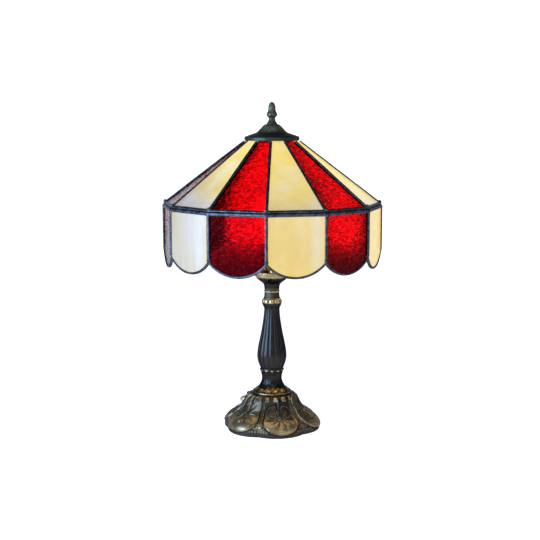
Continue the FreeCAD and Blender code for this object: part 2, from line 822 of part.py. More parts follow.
def ribbed_neck():
    body = ring(neck_radius, axis_bore, neck_height, neck_z)
    middle = Vector(0, 0, neck_z + neck_ring_rise)
    bead = Part.makeTorus(neck_ring_radius - neck_ring_wire, neck_ring_wire, middle, UP)
    return body.fuse(bead).removeSplitter()


def collar_ring():
    z = collar_z
    top = collar_height
    rows = [(0.0, 0.84), (0.14, 0.93), (0.5, 1.0), (0.86, 0.93), (1.0, 0.84)]
    sections = [(z + h * top, collar_radius * r, collar_lobe_depth * r) for h, r in rows]
    body = lobed(sections, collar_lobes, 0.0)
    return body.cut(cylinder(axis_bore, top + 2, z - 1))


def baluster():
    z = baluster_z
    low = z + baluster_ring_height
    high = collar_z - 3.0
    rows = [(0.0, 0.8), (0.045, 0.86), (0.12, 0.945), (0.22, 1.0), (0.38, 0.92), (0.52, 0.805)]
    rows += [(0.65, 0.69), (0.79, 0.60), (0.89, 0.545), (1.0, 0.535)]
    sections = []
    for share, width in rows:
        sections.append((low + (high - low) * share, baluster_radius * width, flute_depth * width))
    body = lobed(sections, flute_count, 0.0)
    bead = baluster_ring_height / 2
    outline = [(baluster_ring_radius - 1.6, z), (baluster_ring_radius, z + bead)]
    outline.append((baluster_ring_radius - 1.6, low))
    body = body.fuse(turned(outline, axis_bore, z, low))
    body = body.fuse(cylinder(baluster_radius * 0.555, collar_z - high, high))
    body = hollow(body, 0.4 * baluster_radius, z, baluster_height)
    return body.cut(cylinder(axis_bore, baluster_height + 2, z - 1))


def stem_bell():
    z = bell_z
    outline = [(bell_foot_radius, z), (bell_foot_radius - 0.6, z + 3), (30.2, z + 6.4), (24.6, z + 12)]
    outline += [(20.4, z + 19), (bell_top_radius, z + 28), (19.2, z + 34)]
    outline.append((baluster_ring_radius - bell_lip, baluster_z))
    body = turned(outline, axis_bore, z, baluster_z)
    return hollow(body, bell_top_radius - casting_wall, z, bell_height)


# ---- Foot -----------------------------------------------------------------------------------------
def foot_rows():
    """The foot's outline as (z, radius, depth of the notches between the pads)."""
    body = foot_top_z - felt_thickness
    rise = foot_radius - foot_neck_radius
    rows = [(0.0, 0.985, 1.0), (0.1, 0.985, 1.0), (0.2, 0.95, 1.0), (0.3, 0.84, 0.8), (0.37, 0.73, 0.6)]
    rows += [(0.43, 0.6, 0.4), (0.52, 0.44, 0.2), (0.64, 0.31, 0.1), (0.76, 0.23, 0.0), (0.87, 0.165, 0.0)]
    rows += [(0.94, 0.1, 0.0), (1.0, 0.0, 0.0)]
    return [(felt_thickness + body * h, foot_neck_radius + rise * r, pad_notch * d) for h, r, d in rows]


def foot_turn():
    return math.radians(pad_turn)


def exit_direction():
    turn = math.radians(exit_angle)
    return Vector(-math.sin(turn), math.cos(turn), 0)


def foot_casting():
    rows = foot_rows()
    body = lobed(rows, pad_count, foot_turn())
    inner = []
    for z, radius, depth in rows[1:-1]:
        inner.append((z - foot_wall, radius - foot_wall, depth))
    inner[0] = (0.0, rows[0][1] - foot_wall, rows[0][2])
    inner.append((deck_z, inner[-1][1] - foot_wall, 0.0))
    body = body.cut(lobed(inner, pad_count, foot_turn()))
    body = body.cut(cylinder(axis_bore, foot_deck + 2, deck_z - 1))
    hole = Part.makeCylinder(bushing_radius + bushing_clearance, foot_radius, Vector(0, 0, exit_z),
                             exit_direction())
    return body.cut(hole.translate(exit_direction() * foot_neck_radius))


def felt_pad():
    outer = foot_rows()[0]
    wire = lobed_wire(outer[1] - felt_margin, outer[2], 0.0, pad_count, foot_turn())
    return Part.Face(wire).extrude(UP * felt_thickness)


# ---- Cord -----------------------------------------------------------------------------------------
def exit_point(reach):
    """A point of the strain relief's axis, this far outside the foot."""
    return exit_direction() * (foot_radius + reach) + Vector(0, 0, exit_z)


def cord_bushing():
    direction = exit_direction()
    start = -foot_wall - bushing_depth
    stem = Part.makeCylinder(bushing_radius, 1.0 - start, exit_point(start), direction)
    flange_at = exit_point(bushing_flange_gap)
    flange = Part.makeCylinder(bushing_flange, bushing_flange_thickness, flange_at, direction)
    length = bushing_reach - 1.0
    tail = Part.makeCone(bushing_radius, bushing_tail_radius, length, exit_point(1.0), direction)
    return stem.fuse(flange).fuse(tail).removeSplitter()


def cord_points():
    floor = [Vector(x, y, cord_floor_z) for x, y in cord_floor_points]
    return [exit_point(bushing_reach - bushing_seat)] + floor


def coil_outer_radius():
    return coil_turn_radius + coil_turns_wide * cord_radius


def coil_inner_radius():
    return coil_turn_radius - coil_turns_wide * cord_radius


def plug_axis():
    """Where the plug's axis crosses the coil's widest point: the outer turn, in the middle layer."""
    across = coil_outer_radius() - cord_radius
    return coil_centre + Vector(across, 0, coil_layers * cord_radius + floor_gap)


def power_cord():
    radii = []
    path = round_path(cord_points(), radii)
    tube = rod(path, cord_radius)
    expected = math.pi * cord_radius ** 2 * path.Length
    print("cord radii", radii, "length", round(path.Length), "volume", round(tube.Volume / expected, 4))
    return tube.cut(coil_body()).cut(cord_bushing())


def coil_body():
    height = coil_layers * cord_diameter
    outer = cylinder(coil_outer_radius(), height, floor_gap, coil_centre)
    return outer.cut(cylinder(coil_inner_radius(), height + 2, floor_gap - 1, coil_centre))


def cord_coil():
    start = plug_axis()
    tail = Part.makeCylinder(cord_radius, plug_tail, start, Vector(0, -1, 0))
    return coil_body().fuse(tail).removeSplitter()


def plug():
    base = plug_axis() - Vector(0, plug_tail, 0)
    heading = Vector(0, -1, 0)
    neck = cord_radius + plug_boss_sleeve
    boss = Part.makeCone(neck, plug_boss_radius, plug_boss_length, base, heading)
    body_start = base + heading * plug_boss_length
    body = Part.makeBox(plug_width, plug_length, plug_thickness)
    low_corner = Vector(base.x - plug_width / 2, body_start.y - plug_length, base.z - plug_thickness / 2)
    body.translate(low_corner)
    long_edges = [edge for edge in body.Edges if abs(edge.tangentAt(0).y) > 0.9]
    body = body.makeFillet(plug_edge, long_edges)
    whole = body.fuse(boss)
    for side in (-1, 1):
        blade = Part.makeBox(blade_thickness, blade_length + 1, blade_width)
        corner = Vector(base.x + side * blade_spacing / 2 - blade_thickness / 2,
                        body_start.y - plug_length - blade_length, base.z - blade_width / 2)
        blade.translate(corner)
        whole = whole.fuse(blade)
    return whole.removeSplitter()


# ---- Write every sub-part -------------------------------------------------------------------------
def all_parts():
    parts = {}
    for k in range(panel_count):
        parts["upper_panel_%02d" % (k + 1)] = upper_panel(k)
        parts["lower_panel_%02d" % (k + 1)] = lower_panel(k)
    for side, name in ((-1, "front"), (1, "back")):
        parts["harp_sleeve_" + name] = harp_sleeve(side)
    makers = [upper_seam_cames, lower_seam_cames, upper_rim_came, lower_rim_came, scallop_edge_came,
              top_ring, shade_cap, finial, harp_wire, harp_top_fitting, harp_saddle, socket_cap,
              socket_shell, socket_liner, socket_interior, screw_shell, center_contact, switch_knob,
              bulb_base, bulb_glass, lamp_pipe, pipe_nuts, bottom_washer, candle_cup, ribbed_neck,
              collar_ring, baluster, stem_bell, foot_casting, felt_pad, cord_bushing, power_cord,
              cord_coil, plug]
    for maker in makers:
        parts[maker.__name__] = maker()
    return parts


os.makedirs("parts", exist_ok=True)
for name, shape in all_parts().items():
    shape.exportStep("parts/%s.step" % name)
    state = "ok" if shape.isValid() and shape.Volume > 0 else "BAD"
    print(name, state, len(shape.Solids), round(shape.Volume))
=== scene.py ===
"""Stained glass table lamp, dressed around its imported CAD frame. Metres, +Z up, the front faces -Y."""

import json
import math

import bpy
import numpy as np
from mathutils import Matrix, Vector


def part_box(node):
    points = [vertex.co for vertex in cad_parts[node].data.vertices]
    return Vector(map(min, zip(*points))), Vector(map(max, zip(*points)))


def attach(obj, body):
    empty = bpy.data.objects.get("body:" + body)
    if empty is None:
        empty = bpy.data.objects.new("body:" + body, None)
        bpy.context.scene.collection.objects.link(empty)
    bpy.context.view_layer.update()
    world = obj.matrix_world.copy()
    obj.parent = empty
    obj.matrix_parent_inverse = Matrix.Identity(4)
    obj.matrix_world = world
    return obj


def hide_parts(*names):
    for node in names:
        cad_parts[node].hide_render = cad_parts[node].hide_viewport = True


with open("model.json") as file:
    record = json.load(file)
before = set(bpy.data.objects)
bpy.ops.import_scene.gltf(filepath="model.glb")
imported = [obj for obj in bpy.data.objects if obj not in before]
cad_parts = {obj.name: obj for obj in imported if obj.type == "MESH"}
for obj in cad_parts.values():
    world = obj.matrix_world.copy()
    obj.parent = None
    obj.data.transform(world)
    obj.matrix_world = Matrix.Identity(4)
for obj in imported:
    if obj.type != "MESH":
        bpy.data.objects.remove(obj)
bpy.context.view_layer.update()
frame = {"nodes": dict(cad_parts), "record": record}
nodes = frame["nodes"]
MM = 0.001

# ---- Driving sizes, in millimetres, as in the frame ----
PANELS = 12
SHADE_TURN = math.radians(-2.75)
RIM_RADIUS = 200.5
RIM_Z = 420.5
OPENING_RADIUS = 44.0
OPENING_Z = 539.7
CUSP_Z = 334.5
SCALLOP_DROP = 25.0
GLASS = 3.0
SEAM_WIDTH = 5.5
HALF_STEP = math.pi / PANELS
PADS = 6
PAD_TURN = math.radians(13.0)
FLUTES = 14
COLLAR_LOBES = 9
CORD_DIAMETER = 5.5
PIPE_HOLE = 5.1
FOOT_RADIUS = 92.0


# ---- Numbers that vary smoothly ----
def smoothstep(x, low, high):
    t = np.clip((x - low) / (high - low), 0.0, 1.0)
    return t * t * (3.0 - 2.0 * t)


def bump(x, width):
    """A soft ridge of height 1 round x = 0."""
    return np.exp(-(x / width) ** 2)


def noise(x, y, seed):
    """Smooth value noise from -1 to 1, with one cell per unit."""
    lattice = np.random.default_rng(seed).uniform(-1.0, 1.0, (64, 64))
    xi, yi = np.floor(x).astype(int), np.floor(y).astype(int)
    fx, fy = x - xi, y - yi
    fx, fy = fx * fx * (3 - 2 * fx), fy * fy * (3 - 2 * fy)
    a, b = lattice[xi % 64, yi % 64], lattice[(xi + 1) % 64, yi % 64]
    c, d = lattice[xi % 64, (yi + 1) % 64], lattice[(xi + 1) % 64, (yi + 1) % 64]
    return (a * (1 - fx) + b * fx) * (1 - fy) + (c * (1 - fx) + d * fx) * fy


def nearest(angle, count, turn=0.0):
    """The signed angle to the nearest of count equally spaced directions."""
    step = 2 * math.pi / count
    return (angle - turn + step / 2) % step - step / 2


def lobed_radius(radius, depth, lobes, angle, turn):
    """The radius of a ring of equal arcs that meet in notches, with an arc's middle at turn."""
    half = math.pi / lobes
    depth = np.maximum(depth, 1e-6)
    chord = (radius - depth) * math.sin(half)
    rise = radius - (radius - depth) * math.cos(half)
    arc = (chord ** 2 + rise ** 2) / (2 * rise)
    centre = radius - arc
    off = nearest(angle, lobes, turn)
    return centre * np.cos(off) + np.sqrt(arc ** 2 - (centre * np.sin(off)) ** 2)


def smooth_outline(points, count):
    """Evenly spaced points along a smooth curve through (radius, z) points."""
    p = np.array(points, float)
    p = np.vstack([2 * p[0] - p[1], p, 2 * p[-1] - p[-2]])
    out = []
    for i in range(1, len(p) - 2):
        t = np.linspace(0, 1, 24, endpoint=False)[:, None]
        a, b, c, d = p[i - 1], p[i], p[i + 1], p[i + 2]
        out.append(0.5 * (2 * b + (c - a) * t + (2 * a - 5 * b + 4 * c - d) * t ** 2
                          + (3 * b - a - 3 * c + d) * t ** 3))
    out = np.vstack(out + [p[-2:-1]])
    length = np.concatenate([[0], np.cumsum(np.linalg.norm(np.diff(out, axis=0), axis=1))])
    at = np.linspace(0, length[-1], count)
    return np.stack([np.interp(at, length, out[:, 0]), np.interp(at, length, out[:, 1])], axis=1)


# ---- Meshes ----
def add_object(name, data):
    obj = bpy.data.objects.new(name, data)
    bpy.context.scene.collection.objects.link(obj)
    return obj


def mesh_object(name, points, faces, material, smooth=True, values=None):
    """A mesh from arrays, in millimetres; values is a number per point for the material to read."""
    mesh = bpy.data.meshes.new(name)
    faces = faces.tolist() if isinstance(faces, np.ndarray) else faces
    mesh.from_pydata((np.asarray(points) * MM).tolist(), [], faces)
    smooth_faces = np.broadcast_to(np.asarray(smooth, bool), len(mesh.polygons))
    mesh.polygons.foreach_set("use_smooth", smooth_faces.copy())
    if values is not None:
        attribute = mesh.attributes.new("wear_and_sheen_values", "FLOAT", "POINT")
        attribute.data.foreach_set("value", np.asarray(values, np.float32).ravel())
    mesh.update()
    obj = add_object(name, mesh)
    obj.data.materials.append(material)
    return obj


def turned_points(loop, angle, shift, shape):
    """Points of a section carried round the axis, moved along its normal by shift."""
    after, before = np.roll(loop, -1, axis=0), np.roll(loop, 1, axis=0)
    along = after - before
    along /= np.maximum(np.linalg.norm(along, axis=1), 1e-9)[:, None]
    radius = shape(angle, loop[:, :1], loop[:, 1:]) + shift * along[:, 1:]
    height = loop[:, 1:] - shift * along[:, :1]
    return np.stack([radius * np.sin(angle), -radius * np.cos(angle), height], axis=2)


def grid_faces(rows, columns, wrap_rows=True):
    """Quads of a grid whose columns close on themselves, and whose rows may."""
    index = np.arange(rows * columns).reshape(rows, columns)
    down, right = np.roll(index, -1, axis=0), np.roll(index, -1, axis=1)
    quads = np.stack([index, right, np.roll(down, -1, axis=1), down], axis=2)
    return (quads if wrap_rows else quads[:-1]).reshape(-1, 4)


def closed_grid(rows, columns, start=0, flip=False, flip_ends=False):
    """Faces of a grid of rings with both ends closed, whose points are numbered from start."""
    sides = grid_faces(rows, columns, False) + start
    first = np.arange(columns)[::-1] + start
    last = np.arange(columns) + start + (rows - 1) * columns
    if flip:
        sides = sides[:, ::-1]
    if flip_ends:
        first, last = first[::-1], last[::-1]
    return sides.tolist() + [first.tolist(), last.tolist()]


def circular(angle, radius, z):
    return radius + 0.0 * angle


def twelve_sided(angle, radius, z):
    return radius / np.cos(nearest(angle, PANELS, SHADE_TURN + HALF_STEP))


def turned_mesh(name, outer, inner, segments, relief, material, shape=circular):
    """A closed turned piece: a detailed outer face over a plain inner one.

    outer and inner are (radius, z) points, and relief gives each outer point's shift along the section's
    normal and how rubbed it is, with any painted highlight or light."""
    outer, inner = np.asarray(outer, float), np.asarray(inner, float).reshape(-1, 2)
    length = np.concatenate([[0], np.cumsum(np.linalg.norm(np.diff(outer, axis=0), axis=1))])
    angle = np.linspace(0, 2 * math.pi, segments, endpoint=False)[None, :]
    plain = np.zeros((len(outer), segments))
    shift, wear_and_sheen = relief(angle, length[:, None], outer[:, :1], outer[:, 1:])
    ends = np.zeros((len(inner), segments))
    shift, wear_and_sheen = np.vstack([plain + shift, ends]), np.vstack([plain + wear_and_sheen, ends])
    loop = np.vstack([outer, inner])
    points = turned_points(loop, angle, shift, shape)
    smooth = np.ones((len(loop), segments), bool)
    if len(inner):
        smooth[len(outer) - 1:] = False
    faces = grid_faces(len(loop), segments)
    return mesh_object(name, points.reshape(-1, 3), faces, material, smooth.ravel(), wear_and_sheen)


def stands_for(obj, node, body):
    """This piece replaces a CAD node and moves with its body."""
    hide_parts(node)
    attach(obj, body)
    return obj


def levels(node):
    """A node's lowest and highest level, in millimetres."""
    low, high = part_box(node)
    return low.z / MM, high.z / MM


def raised(low, points):
    """(radius, height) points, with the heights counted from low."""
    return [(radius, low + height) for radius, height in points]


def casting(node, name, outline, inner, counts, relief, slot, body="base"):
    """A turned casting in place of a CAD node; counts are its points along the outline and round it."""
    obj = turned_mesh(name, smooth_outline(outline, counts[0]), inner, counts[1], relief, made[slot])
    return stands_for(obj, node, body)


def bars(name, runs, profile, material, wobble, seed):
    """Bars swept along runs of (points, outward), with profile points (across, outward).

    Their thickness varies by up to wobble along each run."""
    profile = np.asarray(profile, float)
    points, faces = [], []
    random = np.random.default_rng(seed)
    for path, outward in runs:
        path, outward = np.asarray(path, float), np.asarray(outward, float)
        tangent = np.gradient(path, axis=0)
        tangent /= np.linalg.norm(tangent, axis=1)[:, None]
        side = np.cross(outward, tangent)
        side /= np.linalg.norm(side, axis=1)[:, None]
        start, count, ring = len(points), len(path), len(profile)
        knots = np.arange(0, count + 6, 3)
        swell = 1 + wobble * np.interp(np.arange(count), knots, random.uniform(-1, 1, len(knots)))
        for i in range(count):
            for across, out in profile:
                points.append(path[i] + side[i] * across * swell[i] + outward[i] * out * swell[i])
        faces += closed_grid(count, ring, start, flip_ends=True)
    return mesh_object(name, points, faces, material)


def blobs(name, places, size, material, seed):
    """Small uneven lumps of solder, each a squashed ball facing outward at (place, outward)."""
    points, faces = [], []
    random = np.random.default_rng(seed)
    rows, columns = 7, 12
    for place, outward in places:
        outward = np.asarray(outward, float) / np.linalg.norm(outward)
        across = np.cross([0, 0, 1.0], outward)
        across /= np.linalg.norm(across)
        up = np.cross(outward, across)
        start = len(points)
        stretch = random.uniform(0.85, 1.15, 3)
        for i in range(rows):
            tilt = math.pi * (i + 0.5) / rows
            for j in range(columns):
                turn = 2 * math.pi * j / columns
                uneven = 1 + random.uniform(-0.06, 0.06)
                local = np.array([math.sin(tilt) * math.cos(turn) * size[0] * stretch[0],
                                  math.sin(tilt) * math.sin(turn) * size[1] * stretch[1],
                                  math.cos(tilt) * size[2]]) * uneven
                points.append(np.asarray(place) + across * local[0] + up * local[1] + outward * local[2])
        faces += closed_grid(rows, columns, start)
    return mesh_object(name, points, faces, material)


# ---- Materials ----
def node_material(name):
    material = bpy.data.materials.new(name)
    material.use_nodes = True
    tree = material.node_tree
    return material, tree, tree.nodes["Principled BSDF"]


def set_inputs(node, values):
    """Set a node's sockets, each to a number or a colour, or link them to another node's output."""
    for name, value in values.items():
        if hasattr(value, "is_linked"):
            node.id_data.links.new(value, node.inputs[name])
        else:
            node.inputs[name].default_value = value


def object_noise(tree, scale, detail=3.0, stretch=(1, 1, 1)):
    place = tree.nodes.new("ShaderNodeTexCoord")
    mapping = tree.nodes.new("ShaderNodeMapping")
    set_inputs(mapping, {"Vector": place.outputs["Object"], "Scale": stretch})
    texture = tree.nodes.new("ShaderNodeTexNoise")
    set_inputs(texture, {"Vector": mapping.outputs["Vector"], "Scale": scale, "Detail": detail})
    return texture.outputs["Fac"]


def ramp(tree, source, stops):
    """Colours or greys along a value."""
    node = tree.nodes.new("ShaderNodeValToRGB")
    elements = node.color_ramp.elements
    while len(elements) < len(stops):
        elements.new(0.5)
    for element, (position, colour) in zip(elements, stops):
        element.position = position
        rgb = colour if hasattr(colour, "__len__") else (colour, colour, colour)
        element.color = (*rgb, 1.0)
    set_inputs(node, {"Fac": source})
    return node.outputs["Color"]


def mix(tree, factor, a, b, blend="MIX"):
    node = tree.nodes.new("ShaderNodeMix")
    node.data_type = "RGBA"
    node.blend_type = blend
    a, b = [(*value, 1.0) if isinstance(value, tuple) else value for value in (a, b)]
    set_inputs(node, {0: factor, 6: a, 7: b})
    return node.outputs[2]


def math_node(tree, operation, a, b):
    node = tree.nodes.new("ShaderNodeMath")
    node.operation = operation
    set_inputs(node, {0: a, 1: b})
    return node.outputs[0]


def map_range(tree, source, low, high, to_low=0.0, to_high=1.0):
    """Carries a value smoothly from low..high to to_low..to_high."""
    node = tree.nodes.new("ShaderNodeMapRange")
    node.interpolation_type = "SMOOTHSTEP"
    set_inputs(node, {"Value": source, "From Min": low, "From Max": high,
                      "To Min": to_low, "To Max": to_high})
    return node.outputs["Result"]


def object_axes(tree):
    """The object's own X, Y and Z, in metres."""
    place = tree.nodes.new("ShaderNodeTexCoord")
    separate = tree.nodes.new("ShaderNodeSeparateXYZ")
    set_inputs(separate, {"Vector": place.outputs["Object"]})
    return separate.outputs


def axis_range(tree, axis, low, high, to_low=0.0, to_high=1.0):
    return map_range(tree, object_axes(tree)[axis], low, high, to_low, to_high)


def add_bump(tree, shader, height, strength, distance):
    node = tree.nodes.new("ShaderNodeBump")
    set_inputs(node, {"Height": height, "Strength": strength, "Distance": distance})
    set_inputs(shader, {"Normal": node.outputs["Normal"]})


def red_glass_material():
    """Transparent ruby glass: hammered ripples that vary its depth, with painted glints on their crests, and
    painted shade low on the skirt and towards -X.
    """
    material, tree, shader = node_material("red_cathedral_glass")
    tone = object_noise(tree, 14.0, 2.0)
    colour = ramp(tree, tone, [(0.3, (0.22, 0.0004, 0.0022)), (0.7, (0.29, 0.0008, 0.004))])
    ripple = object_noise(tree, 160.0, 2.5, (1.0, 1.0, 1.9))
    # The ripples vary the glass's depth of colour, and their crests are painted up to twice as bright as
    # painted glints.
    ripple_depth_and_glint = ramp(tree, ripple, [(0.38, 0.5), (0.5, 0.92), (0.58, 1.05), (0.68, 2.2)])
    colour = mix(tree, 1.0, colour, ripple_depth_and_glint, "MULTIPLY")
    # Painted shade: darker low on the skirt.
    depth = axis_range(tree, "Z", 0.318, 0.392, 0.24, 1.0)
    colour = mix(tree, 1.0, colour, depth, "MULTIPLY")
    # Painted shade: darker towards -X.
    side = axis_range(tree, "X", -0.185, -0.115, 0.45, 1.0)
    colour = mix(tree, 1.0, colour, side, "MULTIPLY")
    gloss = ramp(tree, object_noise(tree, 420.0, 2.0), [(0.3, 0.01), (0.75, 0.05)])
    add_bump(tree, shader, ripple, 0.7, 0.0022)
    set_inputs(shader, {"Base Color": colour, "Roughness": gloss, "Transmission Weight": 1.0,
                        "Specular IOR Level": 0.3, "Specular Tint": (0.9, 0.10, 0.16, 1.0), "IOR": 1.16})
    return material


def cream_glass_material():
    """Opalescent glass: streaks of milk and amber, with the bulb's light behind it painted on as emission."""
    material, tree, shader = node_material("cream_opal_glass")
    wisps = object_noise(tree, 7.0, 6.0, (3.2, 3.2, 0.55))
    mottle = object_noise(tree, 55.0, 5.0)
    body = ramp(tree, wisps, [(0.32, (0.16, 0.13, 0.07)), (0.5, (0.20, 0.18, 0.14)),
                                           (0.7, (0.25, 0.26, 0.28))])
    # Painted light: the glow changes with height, brightest at the top.
    height = axis_range(tree, "Z", 0.30, 0.54)
    glow = ramp(tree, height,
                [(0.0, (0.78, 0.545, 0.10)), (0.46, (0.80, 0.57, 0.13)), (0.5, (0.62, 0.50, 0.24)),
                 (0.66, (0.84, 0.64, 0.18)), (1.0, (1.03, 0.76, 0.13))])
    streaks = ramp(tree, wisps, [(0.32, (1.0, 0.98, 0.90)), (0.55, (0.95, 0.96, 1.0)),
                                              (0.7, (0.86, 0.92, 1.3))])
    glow = mix(tree, 1.0, glow, streaks, "MULTIPLY")
    speckle = ramp(tree, mottle, [(0.35, 0.9), (0.65, 1.0)])
    glow = mix(tree, 0.7, glow, speckle, "MULTIPLY")
    # Painted shade: the glow is dimmer and bluer towards -X.
    shaded = axis_range(tree, "X", -0.17, -0.06)
    cool = mix(tree, 1.0, glow, (0.51, 0.54, 1.3), "MULTIPLY")
    glow = mix(tree, shaded, cool, glow)
    set_inputs(shader, {"Base Color": body, "Emission Color": glow, "Emission Strength": 0.86,
                        "Roughness": 0.22, "Specular IOR Level": 0.25, "IOR": 1.45})
    add_bump(tree, shader, mottle, 0.12, 0.0008)
    return material


def lit_cream_material():
    """The inner side of the cream panes, where the bulb's light is painted on as a bright emission."""
    material, tree, shader = node_material("cream_opal_lit_side")
    wisps = object_noise(tree, 9.0, 5.0, (2.2, 2.2, 0.6))
    glow = ramp(tree, wisps, [(0.3, (1.0, 0.74, 0.34)), (0.7, (0.95, 0.78, 0.45))])
    set_inputs(shader, {"Base Color": glow, "Emission Color": glow, "Emission Strength": 2.2,
                        "Roughness": 0.5})
    return material


def patina_metal(name, low, high, rough, metallic, scale, wear_and_sheen=True, grain=0.15):
    """A patinated metal: low in the hollows and high where it is rubbed and where a highlight or light is
    painted, with uneven gloss.
    """
    material, tree, shader = node_material(name)
    mottle = object_noise(tree, scale, 6.0)
    if wear_and_sheen:
        attribute = tree.nodes.new("ShaderNodeAttribute")
        attribute.attribute_name = "wear_and_sheen_values"
        rub = ramp(tree, mottle, [(0.3, 0.55), (0.7, 1.0)])
        factor = math_node(tree, "MULTIPLY", attribute.outputs["Fac"], rub)
    else:
        factor = ramp(tree, mottle, [(0.35, 0.0), (0.75, 1.0)])
    colour = mix(tree, factor, low, high)
    gloss = ramp(tree, mottle, [(0.3, rough[0]), (0.75, rough[1])])
    set_inputs(shader, {"Base Color": colour, "Roughness": gloss, "Metallic": metallic,
                        "Specular Tint": (0.22, 0.24, 0.30, 1.0)})
    add_bump(tree, shader, object_noise(tree, scale * 6, 4.0), grain, 0.0004)
    return material


def plastic(name, colour, darker, rough):
    """Moulded plastic or fibre board, faintly mottled."""
    scale = 90.0
    material, tree, shader = node_material(name)
    mottle = object_noise(tree, scale, 4.0)
    tone = ramp(tree, mottle, [(0.3, darker), (0.7, colour)])
    gloss = ramp(tree, mottle, [(0.3, rough * 0.8), (0.7, rough * 1.2)])
    set_inputs(shader, {"Base Color": tone, "Roughness": gloss})
    add_bump(tree, shader, object_noise(tree, scale * 8, 3.0), 0.1, 0.0003)
    return material


def felt_material():
    material, tree, shader = node_material("black_felt")
    fibre = object_noise(tree, 900.0, 6.0)
    colour = ramp(tree, fibre, [(0.3, (0.008, 0.008, 0.009)), (0.7, (0.03, 0.03, 0.032))])
    set_inputs(shader, {"Base Color": colour, "Roughness": 0.95, "Sheen Weight": 0.3})
    add_bump(tree, shader, fibre, 0.6, 0.0006)
    return material


def bulb_material():
    """Frosted glass of the lit bulb, glowing with a faint mottle."""
    material, tree, shader = node_material("lit_frosted_glass")
    mottle = object_noise(tree, 40.0, 2.0)
    glow = ramp(tree, mottle, [(0.3, (1.0, 0.66, 0.3)), (0.7, (1.0, 0.72, 0.36))])
    set_inputs(shader, {"Base Color": glow, "Emission Color": glow, "Emission Strength": 9.0,
                        "Roughness": 0.5})
    return material


made = {
    "red_glass": red_glass_material(),
    "cream_glass": cream_glass_material(),
    "cream_lit_side": lit_cream_material(),
    "came": patina_metal("black_came", (0.028, 0.032, 0.040), (0.10, 0.11, 0.13), (0.22, 0.38), 0.8,
                         120.0, wear_and_sheen=False, grain=0.5),
    "solder": patina_metal("bright_solder", (0.03, 0.033, 0.04), (0.16, 0.17, 0.19), (0.22, 0.4), 0.8,
                           160.0, wear_and_sheen=False, grain=0.4),
    "brass": patina_metal("brass", (0.5, 0.33, 0.12), (0.62, 0.43, 0.17), (0.2, 0.35), 1.0, 70.0,
                          wear_and_sheen=False),
    "dark_patina": patina_metal("green_black_patina", (0.018, 0.023, 0.022), (0.34, 0.33, 0.19),
                                (0.3, 0.48), 0.7, 60.0, grain=0.25),
    "cardboard": plastic("fibre_liner", (0.3, 0.22, 0.15), (0.22, 0.16, 0.1), 0.8),
    "phenolic": plastic("black_moulding", (0.02, 0.019, 0.018), (0.012, 0.012, 0.012), 0.45),
    "knob_plastic": plastic("brown_knob", (0.05, 0.028, 0.018), (0.03, 0.016, 0.01), 0.25),
    "frosted_glass": bulb_material(),
    "aluminium": patina_metal("bulb_base_aluminium", (0.55, 0.55, 0.55), (0.75, 0.75, 0.74),
                              (0.25, 0.4), 1.0, 80.0, wear_and_sheen=False),
    "steel": patina_metal("zinc_steel", (0.4, 0.4, 0.39), (0.6, 0.6, 0.58), (0.3, 0.5), 1.0, 80.0,
                          wear_and_sheen=False),
    "foot_bronze": patina_metal("brushed_bronze", (0.034, 0.029, 0.025), (0.42, 0.33, 0.18),
                                (0.22, 0.40), 0.8, 90.0, grain=0.3),
    "stem_bronze": patina_metal("black_bronze", (0.019, 0.018, 0.020), (0.42, 0.33, 0.17),
                                (0.18, 0.28), 0.95, 70.0),
    "felt": felt_material(),
    "cord_plastic": plastic("brown_vinyl", (0.42, 0.35, 0.32), (0.33, 0.27, 0.24), 0.35),
    "plug_plastic": plastic("brown_plug", (0.2, 0.125, 0.08), (0.14, 0.085, 0.05), 0.4),
}
made["cup_bronze"] = made["stem_bronze"]
made["antique_gold"] = made["stem_bronze"]


def dress_frame():
    """Each CAD node gets the material of its slot."""
    for part in frame["record"]["subparts"]:
        obj = nodes[part["node"]]
        material = made[part["material_slot"]]
        if not obj.data.materials:
            obj.data.materials.append(material)
        for slot in obj.material_slots:
            slot.material = material


dress_frame()


# ---- Camera ----
CAMERA_PLACE = (-0.0035, -2.066, 0.595)
CAMERA_DIP = 8.2
CAMERA_LENS = 75.0


def make_camera():
    data = bpy.data.cameras.new("camera")
    data.sensor_width = 36.0
    data.lens = CAMERA_LENS
    data.clip_end = 30.0
    camera = add_object("camera", data)
    camera.location = CAMERA_PLACE
    camera.rotation_euler = (math.radians(90.0 - CAMERA_DIP), 0.0, 0.0)
    bpy.context.scene.camera = camera


make_camera()


# ---- Shade: glass ----
def polar(radius, angle, z):
    return np.array([radius * math.sin(angle), -radius * math.cos(angle), z])


class Facet:
    """A flat side of the shade, in millimetres, with its directions across, along and outward."""

    def __init__(self, k, end_radius, end_z):
        here, there = SHADE_TURN + 2 * HALF_STEP * k, SHADE_TURN + 2 * HALF_STEP * (k + 1)
        left, right = polar(RIM_RADIUS, here, RIM_Z), polar(RIM_RADIUS, there, RIM_Z)
        end_left, end_right = polar(end_radius, here, end_z), polar(end_radius, there, end_z)
        self.middle = (left + right) / 2
        self.rim_half = np.linalg.norm(right - left) / 2
        self.end_half = np.linalg.norm(end_right - end_left) / 2
        self.across = (right - left) / (2 * self.rim_half)
        along = (end_left + end_right) / 2 - self.middle
        self.length = np.linalg.norm(along)
        self.along = along / self.length
        self.outward = np.cross(self.across, self.along)
        self.outward *= np.sign(self.outward @ (self.middle - [0, 0, RIM_Z]))

    def half_width(self, along):
        return self.rim_half + (self.end_half - self.rim_half) * along / self.length

    def point(self, across, along, outward):
        return (self.middle + across[..., None] * self.across + along[..., None] * self.along
                + outward[..., None] * self.outward)


